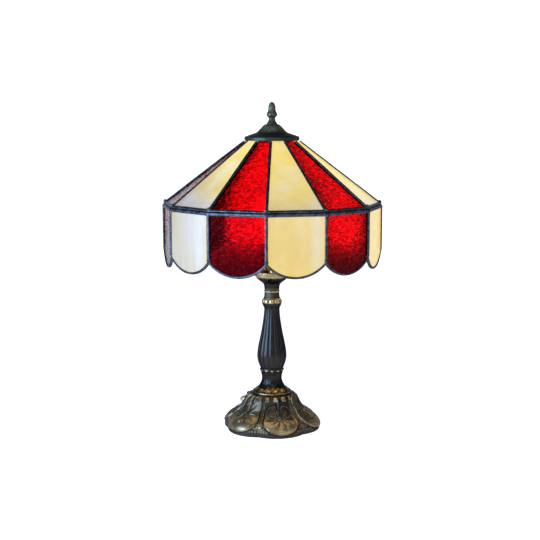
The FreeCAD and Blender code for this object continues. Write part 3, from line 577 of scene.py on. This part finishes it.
def hammered(across, along, seed):
    """Rolled ripples, wider across the pane than along it, with a finer dimple over them."""
    warp = noise(across / 22 + 7, along / 16 + 3, seed + 1) * 3.0
    coarse = noise(across / 7.5 + warp * 0.25 + 50, (along + warp) / 3.1 + 50, seed)
    fine = noise(across / 3.2 + 90, along / 1.9 + 90, seed + 2)
    return 0.42 * coarse + 0.09 * fine - 0.5


def rolled(across, along, seed):
    """The faint waves of machine-rolled opal glass."""
    return 0.07 * noise(across / 16 + 20, along / 24 + 20, seed) - 0.1


def scallop_radius(facet):
    """The radius of the arc across a facet's lower end that drops by SCALLOP_DROP."""
    return (facet.rim_half ** 2 + SCALLOP_DROP ** 2) / (2 * SCALLOP_DROP)


def pane(name, node, slot, facet, side_inset, rim_inset, cell, surface, scalloped, seed):
    """A pane of glass with an uneven outer face, which replaces a CAD panel."""
    columns = int(2 * facet.rim_half / cell) + 1
    rows = int(facet.length / cell) + 1
    t, s = np.meshgrid(np.linspace(-1, 1, columns), np.linspace(0, 1, rows))
    if scalloped:
        arc = scallop_radius(facet)
        across = t * (facet.rim_half - side_inset)
        end = facet.length + SCALLOP_DROP - arc + np.sqrt(arc ** 2 - across ** 2)
        along = rim_inset + s * (end - rim_inset)
    else:
        along = rim_inset + s * (facet.length - rim_inset)
        across = t * (facet.half_width(along) - side_inset)
    outer = facet.point(across, along, surface(across, along, seed))
    inner = facet.point(across, along, np.full_like(across, -GLASS))
    points = np.vstack([outer.reshape(-1, 3), inner.reshape(-1, 3)])
    index = np.arange(rows * columns).reshape(rows, columns)
    quads = np.stack([index[:-1, :-1], index[:-1, 1:], index[1:, 1:], index[1:, :-1]], axis=2).reshape(-1, 4)
    border = np.concatenate([index[0, :-1], index[:-1, -1], index[-1, :0:-1], index[:0:-1, 0]])
    after = np.roll(border, -1)
    count = rows * columns
    sides = np.stack([after, border, border + count, after + count], axis=1)
    faces = np.vstack([quads, quads[:, ::-1] + count, sides])
    if np.cross(outer[0, 1] - outer[0, 0], outer[1, 0] - outer[0, 0]) @ facet.outward < 0:
        faces = faces[:, ::-1]
    smooth = np.concatenate([np.ones(2 * len(quads), bool), np.zeros(len(sides), bool)])
    obj = mesh_object(name, points, faces, made[slot], smooth)
    if slot == "cream_glass":
        obj.data.materials.append(made["cream_lit_side"])
        side = np.zeros(len(faces), np.int32)
        side[len(quads):2 * len(quads)] = 1
        obj.data.polygons.foreach_set("material_index", side)
    return stands_for(obj, node, "shade")


def make_glass():
    """Both tiers. The insets leave each fold's wedge, by its half angle, and the came's heart free."""
    heart, fold_rim = 0.7, 25.87
    rim_inset = 0.15 + (GLASS + 0.1) * math.tan(math.radians(fold_rim)) + 1.2
    tiers = (("upper", OPENING_RADIUS, OPENING_Z, 9.27, False), ("lower", RIM_RADIUS, CUSP_Z, 15.0, True))
    for k in range(PANELS):
        red = k % 2 == 1
        slot, surface, cell = ("red_glass", hammered, 1.0) if red else ("cream_glass", rolled, 3.0)
        for row, (tier, end_radius, end_z, fold, scalloped) in enumerate(tiers):
            side_inset = GLASS * math.tan(math.radians(fold)) + heart
            names = ["%s_%s_%02d" % (tier, kind, k + 1) for kind in ("pane", "panel")]
            pane(*names, slot, Facet(k, end_radius, end_z), side_inset, rim_inset, cell, surface,
                 scalloped, 10 * k + 5 * row)


make_glass()


# ---- Shade: cames and solder ----
def seam_profile():
    """A came's section: a rounded back outside, a web between the panes, and a thin inner leaf."""
    half, crown, lip, depth = SEAM_WIDTH / 2, 2.2, 0.35, 3.2
    turns = np.linspace(0, math.pi, 9)
    back = [(half * math.cos(t), lip + (crown - lip) * math.sin(t) ** 0.8) for t in turns]
    inside = [(-half, 0.0), (-0.6, 0.0), (-0.6, -depth), (-half, -depth), (-half, -depth - 0.9)]
    return back + inside + [(-across, out) for across, out in reversed(inside)]


def seam_line(k, lower, start, end):
    """Points along a seam from start to end, in millimetres from the rim, and its outward direction."""
    here = SHADE_TURN + 2 * HALF_STEP * (k + 1)
    rim = polar(RIM_RADIUS, here, RIM_Z)
    far = polar(RIM_RADIUS, here, CUSP_Z) if lower else polar(OPENING_RADIUS, here, OPENING_Z)
    heading = (far - rim) / np.linalg.norm(far - rim)
    flat = polar(1.0, here, 0.0)
    outward = flat if lower else flat - (flat @ heading) * heading
    outward /= np.linalg.norm(outward)
    path = rim + heading * np.linspace(start, end, 40)[:, None]
    return path, np.tile(outward, (40, 1))


def make_seam_cames():
    start, upper_end, lower_end = 4.5, 188.5, 82.5
    upper = [seam_line(k, False, start, upper_end) for k in range(PANELS)]
    lower = [seam_line(k, True, start, lower_end) for k in range(PANELS)]
    for name, runs, seed in (("upper_seam_cames", upper, 1), ("lower_seam_cames", lower, 2)):
        obj = bars(name + "_rolled", runs, seam_profile(), made["came"], 0.06, seed)
        stands_for(obj, name, "shade")


def rim_section(facet):
    """A rim came's outer and inner face, as (distance of the flat from the axis, z)."""
    width, crown = 6.4, 2.5

    def at(along, outward):
        point = facet.middle + along * facet.along + outward * facet.outward
        return math.hypot(point[0], point[1]), point[2]

    turns = np.linspace(0, math.pi, 13)
    bead = [(0.3 + (width - 0.3) * (1 - math.cos(t)) / 2, 0.2 + (crown - 0.2) * math.sin(t) ** 0.75)
            for t in turns]
    inside = [(width, -4.1), (1.9, -4.1)]
    return [at(*p) for p in bead], [at(*p) for p in inside]


def make_rim_cames():
    def uneven(angle, s, r, z):
        lumps = 0.12 * noise(angle * 34 + 40, s * 0.5 + z * 0.2, 31) + 0.0 * r
        return lumps, 0.0 * lumps

    for name, facet in (("upper_rim_came", Facet(0, OPENING_RADIUS, OPENING_Z)),
                        ("lower_rim_came", Facet(0, RIM_RADIUS, CUSP_Z))):
        outer, inner = rim_section(facet)
        if name == "lower_rim_came":
            outer, inner = outer[::-1], inner[::-1]
        obj = turned_mesh(name + "_rolled", outer, inner, 480, uneven, made["came"], twelve_sided)
        stands_for(obj, name, "shade")


def scallop_runs():
    runs = []
    for k in range(PANELS):
        facet = Facet(k, RIM_RADIUS, CUSP_Z)
        arc = scallop_radius(facet)
        reach = math.asin(facet.rim_half / arc)
        turns = np.linspace(-reach, reach, 41)
        along = facet.length + SCALLOP_DROP - arc + (arc - 1.0) * np.cos(turns)
        path = facet.point(arc * np.sin(turns), along, np.full(41, -1.5))
        runs.append((path, np.tile(facet.outward, (41, 1))))
    return runs


def make_scallop_came():
    turns = np.linspace(0, 2 * math.pi, 16, endpoint=False)
    profile = [(2.2 * np.sign(math.cos(t)) * abs(math.cos(t)) ** 0.6,
                2.75 * np.sign(math.sin(t)) * abs(math.sin(t)) ** 0.6) for t in turns]
    obj = bars("scallop_edge_rolled", scallop_runs(), profile, made["came"], 0.05, 3)
    stands_for(obj, "scallop_edge_came", "shade")


def make_solder():
    """Solder where cames meet: along the rim and at the tips between the scallops."""
    rim, tips = [], []
    for k in range(PANELS):
        angle = SHADE_TURN + 2 * HALF_STEP * k
        slope = polar(0.55, angle, 0.83)
        out = polar(1.0, angle, 0.0)
        rim.append((polar(RIM_RADIUS - 2.6, angle, RIM_Z + 5.0), slope))
        rim.append((polar(RIM_RADIUS - 0.2, angle, RIM_Z - 5.2), out))
        tips.append((polar(RIM_RADIUS - 0.9, angle, CUSP_Z + 3.2), out))
    for name, places, size in (("rim_solder", rim, (3.9, 3.2, 2.7)), ("tip_solder", tips, (3.4, 4.6, 2.6))):
        obj = blobs(name, places, size, made["solder"], 5)
        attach(obj, "shade")


# ---- Cap and finial ----
def make_cap():
    def relief(angle, s, r, z):
        rings = -0.45 * bump(r - 45.5, 1.1) + 0.25 * bump(r - 43.0, 0.9)
        pits = 0.05 * noise(angle * 20 + 30, s * 0.6, 41)
        # Painted highlight: a bright ring round the dome, about 19 mm out, given as rubbed gold.
        wear_and_sheen = 0.08 + 0.9 * bump(r - 19.0, 7.0) * (0.6 + 0.4 * noise(angle * 9 + 9, s * 0.2, 42))
        return rings + pits, wear_and_sheen + 0.0 * angle

    low, high = levels("shade_cap")
    outline = raised(low, [(50.0, 0.0), (50.3, 2.0), (50.2, 5.5), (49.0, 7.2), (46.0, 8.0), (42.0, 9.5),
                           (36.0, 11.6), (28.0, 14.6), (24.0, 18.1), (20.7, 21.8), (17.2, 25.3),
                           (14.0, 28.2)]) + [(11.0, high)]
    inner = [(3.3, high), (3.3, high - 1.5), (13.0, high - 1.5), (26.0, low + 13.0), (35.0, low + 5.9),
             (48.8, low + 5.9), (48.8, low)]
    casting("shade_cap", "shade_cap_spun", outline, inner, (70, 240), relief, "dark_patina", "shade")


def make_finial():
    def relief(angle, s, r, z):
        height = (z - low) / (high - low)
        petals = np.abs(np.sin(3 * angle)) ** 0.7 - 0.6
        bulge = bump(height - 0.41, 0.09)
        acorn = smoothstep(height, 0.66, 0.74) * (1 - smoothstep(height, 0.9, 1.0))
        rows = np.cos(6 * angle + math.pi * np.floor((height - 0.7) * 16))
        shift = bulge * 1.0 * petals + acorn * 0.35 * rows - 0.4 * bump(height - 0.24, 0.02)
        return shift, 0.25 + 0.4 * bulge * petals + 0.0 * r

    low, high = levels("finial")
    outline = raised(low, [(9.6, 0.0), (9.3, 1.6), (8.0, 3.4), (6.6, 5.8), (5.9, 9.0), (6.6, 12.0),
                           (8.4, 14.0), (9.4, 16.8), (9.0, 19.4), (7.9, 22.0), (6.9, 25.0), (6.7, 27.6),
                           (6.6, 30.0), (5.7, 34.0), (4.4, 37.0), (2.6, 39.0)]) + [(0.4, high)]
    inner = [(0.3, high - 0.6), (3.2, low + 17.5), (3.2, low)]
    casting("finial", "finial_cast", outline, inner, (110, 96), relief, "dark_patina", "finial")


# ---- Stem castings ----
def make_cup():
    def relief(angle, s, r, z):
        height = z - low
        ribs = np.abs(np.sin(7 * angle + 0.4)) ** 0.8
        leaves = smoothstep(height, 3.0, 12.0) * (1 - smoothstep(height, 18.0, 21.0))
        rim = smoothstep(height, 19.0, 21.5)
        rough = noise(angle * 14 + 11, height * 0.45, 51) + 0.5 * noise(angle * 37, height * 1.1 + 5, 52)
        shift = -0.9 * leaves * (1 - ribs) + 0.35 * rim * rough - 0.5 * bump(height - 19.5, 0.9)
        wear_and_sheen = rim * np.clip(0.75 + 0.5 * rough, 0, 1) + 0.25 * leaves * np.clip(rough, 0, 1)
        return shift + 0.06 * rough, wear_and_sheen

    low, high = levels("candle_cup")
    outline = raised(low, [(14.0, 0.0), (14.4, 2.5), (16.0, 7.0), (20.0, 10.5), (24.4, 13.6),
                           (28.6, 17.6), (31.0, 21.5), (32.0, 25.0), (32.9, 28.0)])
    outline += [(33.0, high - 0.4), (32.2, high)]
    dish_floor, dish_edge, dish_wear = high - 9.0, 31.5, 0.8
    inner = [(29.0, high), (29.0, dish_floor), (PIPE_HOLE, dish_floor), (PIPE_HOLE, low)]
    obj = casting("candle_cup", "candle_cup_cast", outline, inner, (70, 280), relief, "cup_bronze")
    wear_and_sheen_values = obj.data.attributes["wear_and_sheen_values"].data
    for vertex, value in zip(obj.data.vertices, wear_and_sheen_values):
        reach = math.hypot(vertex.co.x, vertex.co.y)
        if vertex.co.z > (dish_floor - 0.5) * MM and reach < dish_edge * MM:
            value.value = dish_wear


def make_neck():
    def relief(angle, s, r, z):
        height = z - low
        bead = bump(height - 11.0, 1.5)
        ribs = np.abs(np.sin(15 * angle)) ** 0.6
        rows = bead * np.abs(np.cos(15 * angle)) ** 0.5
        shift = 0.45 * ribs * (1 - bump(height - 11.0, 3.0)) - 0.4 + 1.6 * bead
        wear_and_sheen = np.clip(bead * 1.3 - 0.4 * (1 - rows), 0, 1) + 0.12 * ribs
        return shift, wear_and_sheen

    low, high = levels("ribbed_neck")
    outline = raised(low, [(14.3, 0.0), (14.0, 4.0), (13.7, 8.0), (13.7, 13.0)]) + [(14.1, high)]
    inner = [(PIPE_HOLE, high), (PIPE_HOLE, low)]
    casting("ribbed_neck", "ribbed_neck_cast", outline, inner, (60, 300), relief, "stem_bronze")


def make_collar():
    def relief(angle, s, r, z):
        height = z - low
        lobes = np.abs(np.cos(COLLAR_LOBES / 2 * angle)) ** 0.5
        knobs = bump(height - 11.5, 4.0)
        under = bump(height - 4.0, 2.5)
        rough = noise(angle * 12 + 5, height * 0.35 + 8, 61)
        shift = -2.6 * (1 - lobes) * knobs - 0.9 * (1 - lobes) * under + 0.15 * rough
        shift = shift - 0.6 * bump(height - 16.2, 0.8)
        wear_and_sheen = smoothstep(height, 6.5, 9.5) * (1 - smoothstep(height, 15.5, 17.5))
        return shift, wear_and_sheen * np.clip(0.3 + 0.75 * lobes + 0.4 * rough, 0, 1)

    low, high = levels("collar_ring")
    outline = raised(low, [(15.4, 0.0), (16.6, 1.8), (17.7, 4.6), (18.6, 8.0), (18.7, 11.0),
                           (17.6, 14.2), (15.6, 16.4)]) + [(15.0, high)]
    inner = [(PIPE_HOLE, high), (PIPE_HOLE, low)]
    casting("collar_ring", "collar_cast", outline, inner, (60, 300), relief, "antique_gold")


def make_baluster():
    def relief(angle, s, r, z):
        height = z - low
        flute = np.abs(np.cos(FLUTES / 2 * angle)) ** 0.55
        fluted = smoothstep(height, 8.0, 13.0) * (1 - smoothstep(height, 117.0, 121.0))
        round_beads = bump(nearest(angle, 12, math.radians(1.6)) * 22.0, 1.9) * bump(height - 3.5, 1.5)
        swell = r / 27.8
        shift = -1.7 * swell * (1 - flute) * fluted + 0.9 * round_beads - 0.5 * bump(height - 7.4, 0.7)
        shift = shift + 0.03 * noise(angle * 16 + 8, height * 0.3, 71)
        wear_and_sheen = np.clip(round_beads * 1.3, 0, 1) + 0.03 * fluted * flute
        return shift, wear_and_sheen

    low, high = levels("baluster")
    outline = raised(low, [(20.9, 0.0), (21.9, 2.0), (22.0, 4.6), (21.5, 6.6), (22.0, 8.2),
                           (23.6, 12.0), (25.4, 17.0), (27.0, 23.0), (27.8, 29.0), (27.7, 35.0),
                           (26.6, 44.0), (24.9, 53.0), (22.6, 64.0), (20.4, 74.0), (18.4, 86.0),
                           (16.6, 97.0), (15.3, 107.0), (14.7, 115.0), (14.6, 119.0)]) + [(15.2, high)]
    inner = [(PIPE_HOLE, high), (PIPE_HOLE, low)]
    casting("baluster", "baluster_cast", outline, inner, (150, 336), relief, "stem_bronze")


def make_bell():
    def relief(angle, s, r, z):
        height = z - low
        off = nearest(angle, 12, math.radians(15.0)) * 31.0
        ovals = np.exp(-((off / 4.2) ** 2 + ((height - 7.6) / 2.2) ** 2) ** 1.5)
        moulding = bump(height - 2.6, 1.6)
        facets = np.abs(np.cos(6 * angle)) ** 0.6
        upper = smoothstep(height, 12.0, 18.0) * (1 - smoothstep(height, 34.0, 38.0))
        shift = 0.9 * ovals + 0.7 * moulding - 0.7 * bump(height - 5.0, 0.7) - 0.6 * bump(height, 0.8)
        shift = shift - 0.6 * (1 - facets) * upper
        rough = noise(angle * 10 + 3, height * 0.4 + 9, 81)
        wear_and_sheen = ovals + 0.8 * moulding * (0.7 + 0.5 * rough)
        wear_and_sheen = wear_and_sheen + 0.5 * bump(height - 8.0, 4.0) * (1 - ovals) * 0.4
        return shift, np.clip(wear_and_sheen, 0, 1)

    low, high = levels("stem_bell")
    outline = raised(low, [(35.6, 0.0), (36.0, 1.5), (35.2, 3.4), (33.0, 5.0), (29.8, 7.0),
                           (26.6, 10.0), (23.4, 14.0), (20.8, 18.5), (19.4, 22.5), (18.7, 26.0),
                           (18.7, 30.0), (19.4, 34.0)]) + [(20.6, high - 1.5), (20.9, high)]
    inner = [(PIPE_HOLE, high), (PIPE_HOLE, high - 8.0), (14.6, high - 8.0), (14.6, low)]
    casting("stem_bell", "stem_bell_cast", outline, inner, (90, 336), relief, "stem_bronze")


# ---- Foot ----
PAD_REACH = 63.0    # the radius at which widths across a pad are measured
LEAF_FOOT = 83.0    # a leaf's lowest point, along the section from the foot's top edge
BUD_PLACE = 68.5
HOLLOW_RADIUS = 40.0
NOTCH_LEVELS = [2.0, 14.8, 21.2, 25.7, 29.5, 35.3, 43.0, 50.6]
NOTCH_DEPTHS = [7.0, 7.0, 5.6, 4.2, 2.8, 1.4, 0.7, 0.0]


def foot_shape(angle, radius, z):
    """The foot's plan: six rounded pads that meet in notches, which fade out towards the neck."""
    outside = radius > HOLLOW_RADIUS
    depth = np.where(outside, np.interp(z, NOTCH_LEVELS, NOTCH_DEPTHS), 0.0)
    return np.where(outside, lobed_radius(radius, depth, PADS, angle, PAD_TURN), circular(angle, radius, z))


def lily_leaf(u, s, top, half, boss):
    """A round leaf, notched at its top along the stem: its shift, inside, rim, veins and boss.

    u is the distance across the pad and s the distance down it."""
    lobe = 0.56 * half
    lobes = np.hypot(np.abs(u) - 0.44 * half, s - top - lobe) - lobe
    middle = LEAF_FOOT - half
    tall = np.where(s < middle, 0.5 * (middle - top - lobe) / half + 1.0, 1.0)
    body = np.hypot(u, (s - middle) / tall) - half
    shoulders = np.hypot(np.abs(u) - 0.40 * half, (s - top - 1.15 * lobe) / 1.1) - 0.60 * half
    edge = np.minimum(np.minimum(lobes, body), shoulders)
    notch = (boss - 7.0 - s) * 0.16 + 1.2 - np.abs(u)
    edge = np.maximum(edge, np.where(s < boss - 5.0, notch, -half))
    inside = smoothstep(-edge, -0.4, 1.6)
    rim = bump(edge + 1.2, 1.0)
    reach = np.hypot(u, s - boss)
    turn = np.arctan2(u, s - boss)
    veins = np.abs(np.cos(5.5 * turn + 0.25 * np.sin(reach * 0.3))) ** 0.5
    veined = smoothstep(reach, 2.0, 6.0) * (1 - smoothstep(reach, 16.0, 30.0))
    dome = np.clip(-edge / half, 0, 1)
    knob = bump(reach, 2.4)
    veins = (1 - veins) * veined
    shift = inside * (0.8 + 1.5 * dome ** 0.7) + 1.1 * rim - 1.8 * veins * inside + 1.7 * knob
    shift = shift - 1.4 * bump(edge - 0.9, 1.0) - 0.9 * bump(reach - 4.5, 1.4)
    return shift, inside, rim, veins, knob


def foot_relief(angle, s, r, z):
    """Leaves on the pads, buds between them and small squares round the neck; s turns to run downwards."""
    s = s[-1] - s
    off = nearest(angle, PADS, PAD_TURN)
    pad = np.round((angle - PAD_TURN - off) / (2 * math.pi / PADS)).astype(int) % PADS
    round_pad = (pad % 2 == 0) & (s == s)
    u = off * PAD_REACH + 0.0 * s
    low_leaf = lily_leaf(u, s, 20.0, 27.5, 49.0)
    tall_leaf = lily_leaf(u, s, 4.0, 28.5, 40.0)
    shift, inside, rim, veins, knob = [np.where(round_pad, a, b)
                                       for a, b in zip(low_leaf, tall_leaf)]
    boss = np.where(round_pad, 48.0, 66.0)
    stem_width = np.where(round_pad, 3.1, 1.4)
    stem = np.clip(1.25 * bump(u + 0.04 * (s - boss), stem_width), 0, 1)
    stem = stem * smoothstep(s, 5.0, 9.0) * (1 - smoothstep(s, boss - 5, boss))
    flanks = bump(np.abs(u) - 4.6, 1.4) * smoothstep(s, 12.0, 20.0) * (1 - smoothstep(s, boss - 10, boss - 1))
    shift = shift + 3.0 * stem - 1.6 * flanks
    side = (np.abs(off) - math.pi / PADS) * PAD_REACH + 0.0 * s
    twin = bump(np.abs(side) - 1.9, 0.9) * smoothstep(s, 10.0, 16.0) * (1 - smoothstep(s, 60.0, 66.0))
    bud = np.clip(1 - (side / 5.0) ** 2 - ((s - BUD_PLACE) / 5.5) ** 2, 0, 1) ** 0.5
    cup = bump(np.hypot(side / 1.15, s - BUD_PLACE) - 6.6, 1.0) * (1 - smoothstep(-s, -64.0, -60.0))
    beads = bump(np.sin(side * 0.78), 0.55) * bump(s - 79.0, 2.0) * (np.abs(side) < 13)
    shift = shift + 1.1 * twin + 2.0 * bud + 1.0 * cup + 1.1 * beads
    dentil_off = nearest(angle, 18, math.radians(9.0)) * 46.0 + 0.0 * s
    dentils = smoothstep(4.4 - np.abs(dentil_off), 0.0, 1.4) * smoothstep(s, 2.4, 4.0)
    dentils = dentils * (1 - smoothstep(s, 11.0, 13.5)) * (1 - inside)
    shift = shift + 1.3 * dentils - 0.9 * bump(s - 0.6, 1.2)
    hem = smoothstep(s, 79.0, 84.0)
    shift = shift * (1 - smoothstep(s, 82.0, 87.0)) - 0.5 * hem
    shift = shift * smoothstep(s, -0.5, 1.5)
    brushed = 0.75 + 0.35 * noise(u * 0.12 + pad * 7, s * 0.10 + 4, 91)
    brushed = brushed + 0.2 * noise(u * 0.5 + 9, s * 0.16, 92)
    lower = smoothstep(s, 50.0, 62.0) * inside
    # Painted light: the pad facing the front gets much more gold on its lower half than the others.
    front_pad_light = 0.34 + 0.66 * bump(nearest(angle, 1, PAD_TURN), 0.75)
    upper = 0.26 * inside * (1 - 0.9 * veins) * smoothstep(s, 24.0, 50.0)
    smooth_pad = np.where(round_pad, 0.0, 0.16) * inside * (1 - lower)
    wear_and_sheen = upper + smooth_pad + 0.9 * front_pad_light * lower * (1 - 0.9 * veins) + 0.42 * rim + 0.1 * knob
    wear_and_sheen = wear_and_sheen + 0.9 * dentils + 0.5 * twin + 0.85 * bud + 0.6 * cup + 0.7 * beads
    # Painted shade: the gold fades out along the hem, darkening the foot's bottom edge.
    wear_and_sheen = np.clip(wear_and_sheen * (1 - 0.9 * stem), 0, 1) * brushed * (1 - 0.8 * hem)
    return shift + 0.08 * noise(angle * 30 + 6, s * 0.5, 93), np.clip(wear_and_sheen, 0, 1)


def make_foot():
    low, high = levels("foot_casting")
    outline = raised(low, [(91.2, 0.0), (91.2, 6.4), (89.3, 12.8), (83.4, 19.2), (77.4, 23.7),
                           (70.4, 27.5), (61.8, 33.3), (54.7, 41.0), (50.4, 48.6), (46.9, 55.7),
                           (43.4, 60.2)]) + [(38.0, high)]
    inner = [(PIPE_HOLE, high), (PIPE_HOLE, high - 6.0), (34.0, high - 6.0), (46.0, low + 30.0), (80.0, low)]
    outer = smooth_outline(outline, 200)
    obj = turned_mesh("foot_cast", outer, inner, 720, foot_relief, made["foot_bronze"], foot_shape)
    stands_for(obj, "foot_casting", "base")


# ---- Switch knob ----
def make_knob():
    """The turn knob: a ribbed round collar and a thumb-flattened grip, on the switch's shaft along X."""
    low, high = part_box("switch_knob")
    start, end, z = low.x / MM, high.x / MM, (low.z + high.z) / 2 / MM
    plain, ribbed, flat = range(3)
    stations = [(start, 2.4, plain), (end - 12.2, 2.4, plain), (end - 12.0, 5.6, plain),
                (end - 11.0, 6.4, ribbed), (end - 9.6, 6.5, ribbed), (end - 9.0, 6.2, plain),
                (end - 7.5, 6.1, flat), (end - 4.0, 6.2, flat), (end - 1.4, 6.0, flat),
                (end - 0.4, 5.0, flat), (end, 3.4, flat)]
    columns = 96
    groove, grip = 0.035, 3.0
    points = []
    for x, radius, kind in stations:
        for j in range(columns):
            turn = 2 * math.pi * j / columns
            across, up = radius * math.cos(turn), radius * math.sin(turn)
            if kind == ribbed:
                across *= 1 - groove * (j % 4 > 1)
                up *= 1 - groove * (j % 4 > 1)
            if kind == flat:
                up = grip * math.tanh(up / grip * 1.4)
            points.append((x, across, z + up))
    faces = closed_grid(len(stations), columns, flip=True, flip_ends=True)
    obj = mesh_object("switch_knob_moulded", points, faces, made["knob_plastic"])
    stands_for(obj, "switch_knob", "switch_knob")


# ---- Cord, strain relief and plug ----
EXIT_TURN = math.radians(13.0)
EXIT_HEADING = np.array([-math.sin(EXIT_TURN), math.cos(EXIT_TURN), 0.0])
EXIT_Z = 10.0
FLOOR_Z = CORD_DIAMETER / 2 + 0.05
COIL_CENTRE = np.array([2.0, 163.0])
COIL_MIDDLE = 27.5


def exit_point(reach):
    """A point on the cord's way out, reach outside the foot's radius."""
    return EXIT_HEADING * (FOOT_RADIUS + reach) + [0, 0, EXIT_Z]


def make_strain_relief():
    """A tapered, ribbed relief moulded round the cord where it leaves the foot."""
    across = np.cross([0, 0, 1.0], EXIT_HEADING)
    columns = 32
    stations = [(-10.4, 4.7), (0.7, 4.7), (0.9, 6.2), (1.2, 6.5), (2.5, 6.5), (2.8, 6.2), (3.0, 4.8)]
    for i in range(9):
        at, radius = 3.6 + 1.9 * i, 4.75 - 0.13 * i
        stations += [(at, radius - 0.5), (at + 0.3, radius)]
        stations += [(at + 1.2, radius - 0.05), (at + 1.5, radius - 0.55)]
    stations += [(21.0, 3.4), (21.9, 3.2)]
    points = []
    for reach, radius in stations:
        for j in range(columns):
            turn = 2 * math.pi * j / columns
            round_it = across * math.cos(turn) + np.array([0, 0, math.sin(turn)])
            points.append(exit_point(reach) + radius * round_it)
    faces = closed_grid(len(stations), columns)
    obj = mesh_object("strain_relief", points, faces, made["cord_plastic"])
    stands_for(obj, "cord_bushing", "base")


def coil_points():
    """The wound turns, round the coil's section from its outer lower turn."""
    d = CORD_DIAMETER
    places = [(1, 0), (0, 0), (-1, 0), (-1, 1), (-1, 2), (0, 2), (1, 2), (1, 1)]
    points = []
    steps = 16
    start_turn = math.radians(79.0)
    end_turn = math.radians(90.0)
    total = len(places) + (end_turn - start_turn) / (2 * math.pi)
    count = int(total * steps)
    for i in range(count + 1):
        share = i / count * (len(places) - 1)
        k = min(int(share), len(places) - 2)
        blend = smoothstep(share - k, 0.72, 1.0)
        out = places[k][0] + (places[k + 1][0] - places[k][0]) * blend
        layer = places[k][1] + (places[k + 1][1] - places[k][1]) * blend
        turn = start_turn + i / count * total * 2 * math.pi
        radius = COIL_MIDDLE + out * d
        x, y = COIL_CENTRE + radius * np.array([math.sin(turn), math.cos(turn)])
        points.append((x, y, FLOOR_Z + layer * d))
    return points


def make_cord():
    """From the strain relief round a loop on the floor, through the coil and down into the plug."""
    loop = [(-36, 134), (-52, 158), (-66, 184), (-57, 209), (-29, 221), (3, 221), (27, 208)]
    points = [tuple(exit_point(20.5))] + [(x, y, FLOOR_Z) for x, y in loop]
    points += coil_points()
    plug_x, plug_y, plug_z = 35.0, 139.0, FLOOR_Z + CORD_DIAMETER
    points += [(plug_x, plug_y + 12.0, plug_z), (plug_x, plug_y - 2.0, plug_z)]
    curve = bpy.data.curves.new("power_cord_line", "CURVE")
    curve.dimensions = "3D"
    spline = curve.splines.new("NURBS")
    spline.points.add(len(points) - 1)
    for place, target in zip(points, spline.points):
        target.co = (place[0] * MM, place[1] * MM, place[2] * MM, 1.0)
    spline.order_u = 3
    spline.use_endpoint_u = True
    spline.resolution_u = 8
    curve.bevel_depth = CORD_DIAMETER / 2 * MM
    curve.bevel_resolution = 5
    curve.use_fill_caps = True
    curve.materials.append(made["cord_plastic"])
    obj = add_object("power_cord_line", curve)
    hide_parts("power_cord", "cord_coil")
    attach(obj, "base")
    return obj


make_seam_cames()
make_rim_cames()
make_scallop_came()
make_solder()
make_cap()
make_finial()
make_cup()
make_neck()
make_collar()
make_baluster()
make_bell()
make_foot()
make_knob()
make_strain_relief()
cord = make_cord()


# ---- Floor and light ----
def backdrop():
    """A round floor that curves up into a low wall, glowing most in a wedge behind the lamp."""
    columns, steps = 72, 10
    floor_radius, bend, wall_top = 2900.0, 1000.0, 2200.0
    section = [(0.0, 0.0), (1000.0, 0.0), (floor_radius, 0.0)]
    for i in range(1, steps + 1):
        turn = math.pi / 2 * i / steps
        section.append((floor_radius + bend * math.sin(turn), bend - bend * math.cos(turn)))
    section.append((floor_radius + bend, wall_top))
    points, faces = [], []
    for radius, z in section:
        for j in range(columns):
            turn = 2 * math.pi * j / columns
            points.append((radius * math.cos(turn), radius * math.sin(turn), z))
    for i in range(len(section) - 1):
        for j in range(columns):
            a, b = i * columns + j, i * columns + (j + 1) % columns
            if i == 0:
                faces.append((0, b + columns, a + columns))
            else:
                faces.append((a, b, b + columns, a + columns))
    material, tree, shader = node_material("pale_paper")
    grain = object_noise(tree, 30.0, 5.0)
    paper = ramp(tree, grain, [(0.3, (0.84, 0.85, 0.86)), (0.7, (0.86, 0.87, 0.88))])
    axes = object_axes(tree)
    across = math_node(tree, "ABSOLUTE", axes["X"], 0.0)
    spread = math_node(tree, "MULTIPLY", axes["Y"], 0.24)
    wedge = map_range(tree, math_node(tree, "SUBTRACT", across, spread), 0.54, 1.9, 0.80, 0.22)
    top = map_range(tree, axes["Z"], 1.22, 1.9, 1.0, 0.15)
    set_inputs(shader, {"Base Color": paper, "Roughness": 0.9, "Specular IOR Level": 0.1,
                        "Emission Color": (0.96, 0.98, 1.0, 1.0),
                        "Emission Strength": math_node(tree, "MULTIPLY", wedge, top)})
    mesh_object("backdrop", points, faces, material)


def area_light(name, place, target, size, power, colour):
    data = bpy.data.lights.new(name, "AREA")
    data.shape = "RECTANGLE"
    data.size, data.size_y = size
    data.energy = power
    data.color = colour
    light = add_object(name, data)
    light.location = place
    light.rotation_euler = (Vector(target) - Vector(place)).to_track_quat("-Z", "Y").to_euler()
    light.visible_camera = False


def make_lights():
    world = bpy.data.worlds.new("room")
    world.use_nodes = True
    sky = world.node_tree.nodes["Background"]
    set_inputs(sky, {"Color": (0.8, 0.9, 1.0, 1.0), "Strength": 0.16})
    bpy.context.scene.world = world
    area_light("window", place=(-1.15, -0.8, 0.5), target=(0, 0, 0.3), size=(1.2, 0.95), power=40.0,
               colour=(0.40, 0.64, 1.0))
    area_light("front_wash", place=(0.4, -2.8, 2.6), target=(0, -0.2, 0.1), size=(2.0, 0.8), power=16.0,
               colour=(1.0, 0.97, 0.93))


backdrop()
make_lights()
bpy.context.scene.view_settings.view_transform = "Standard"
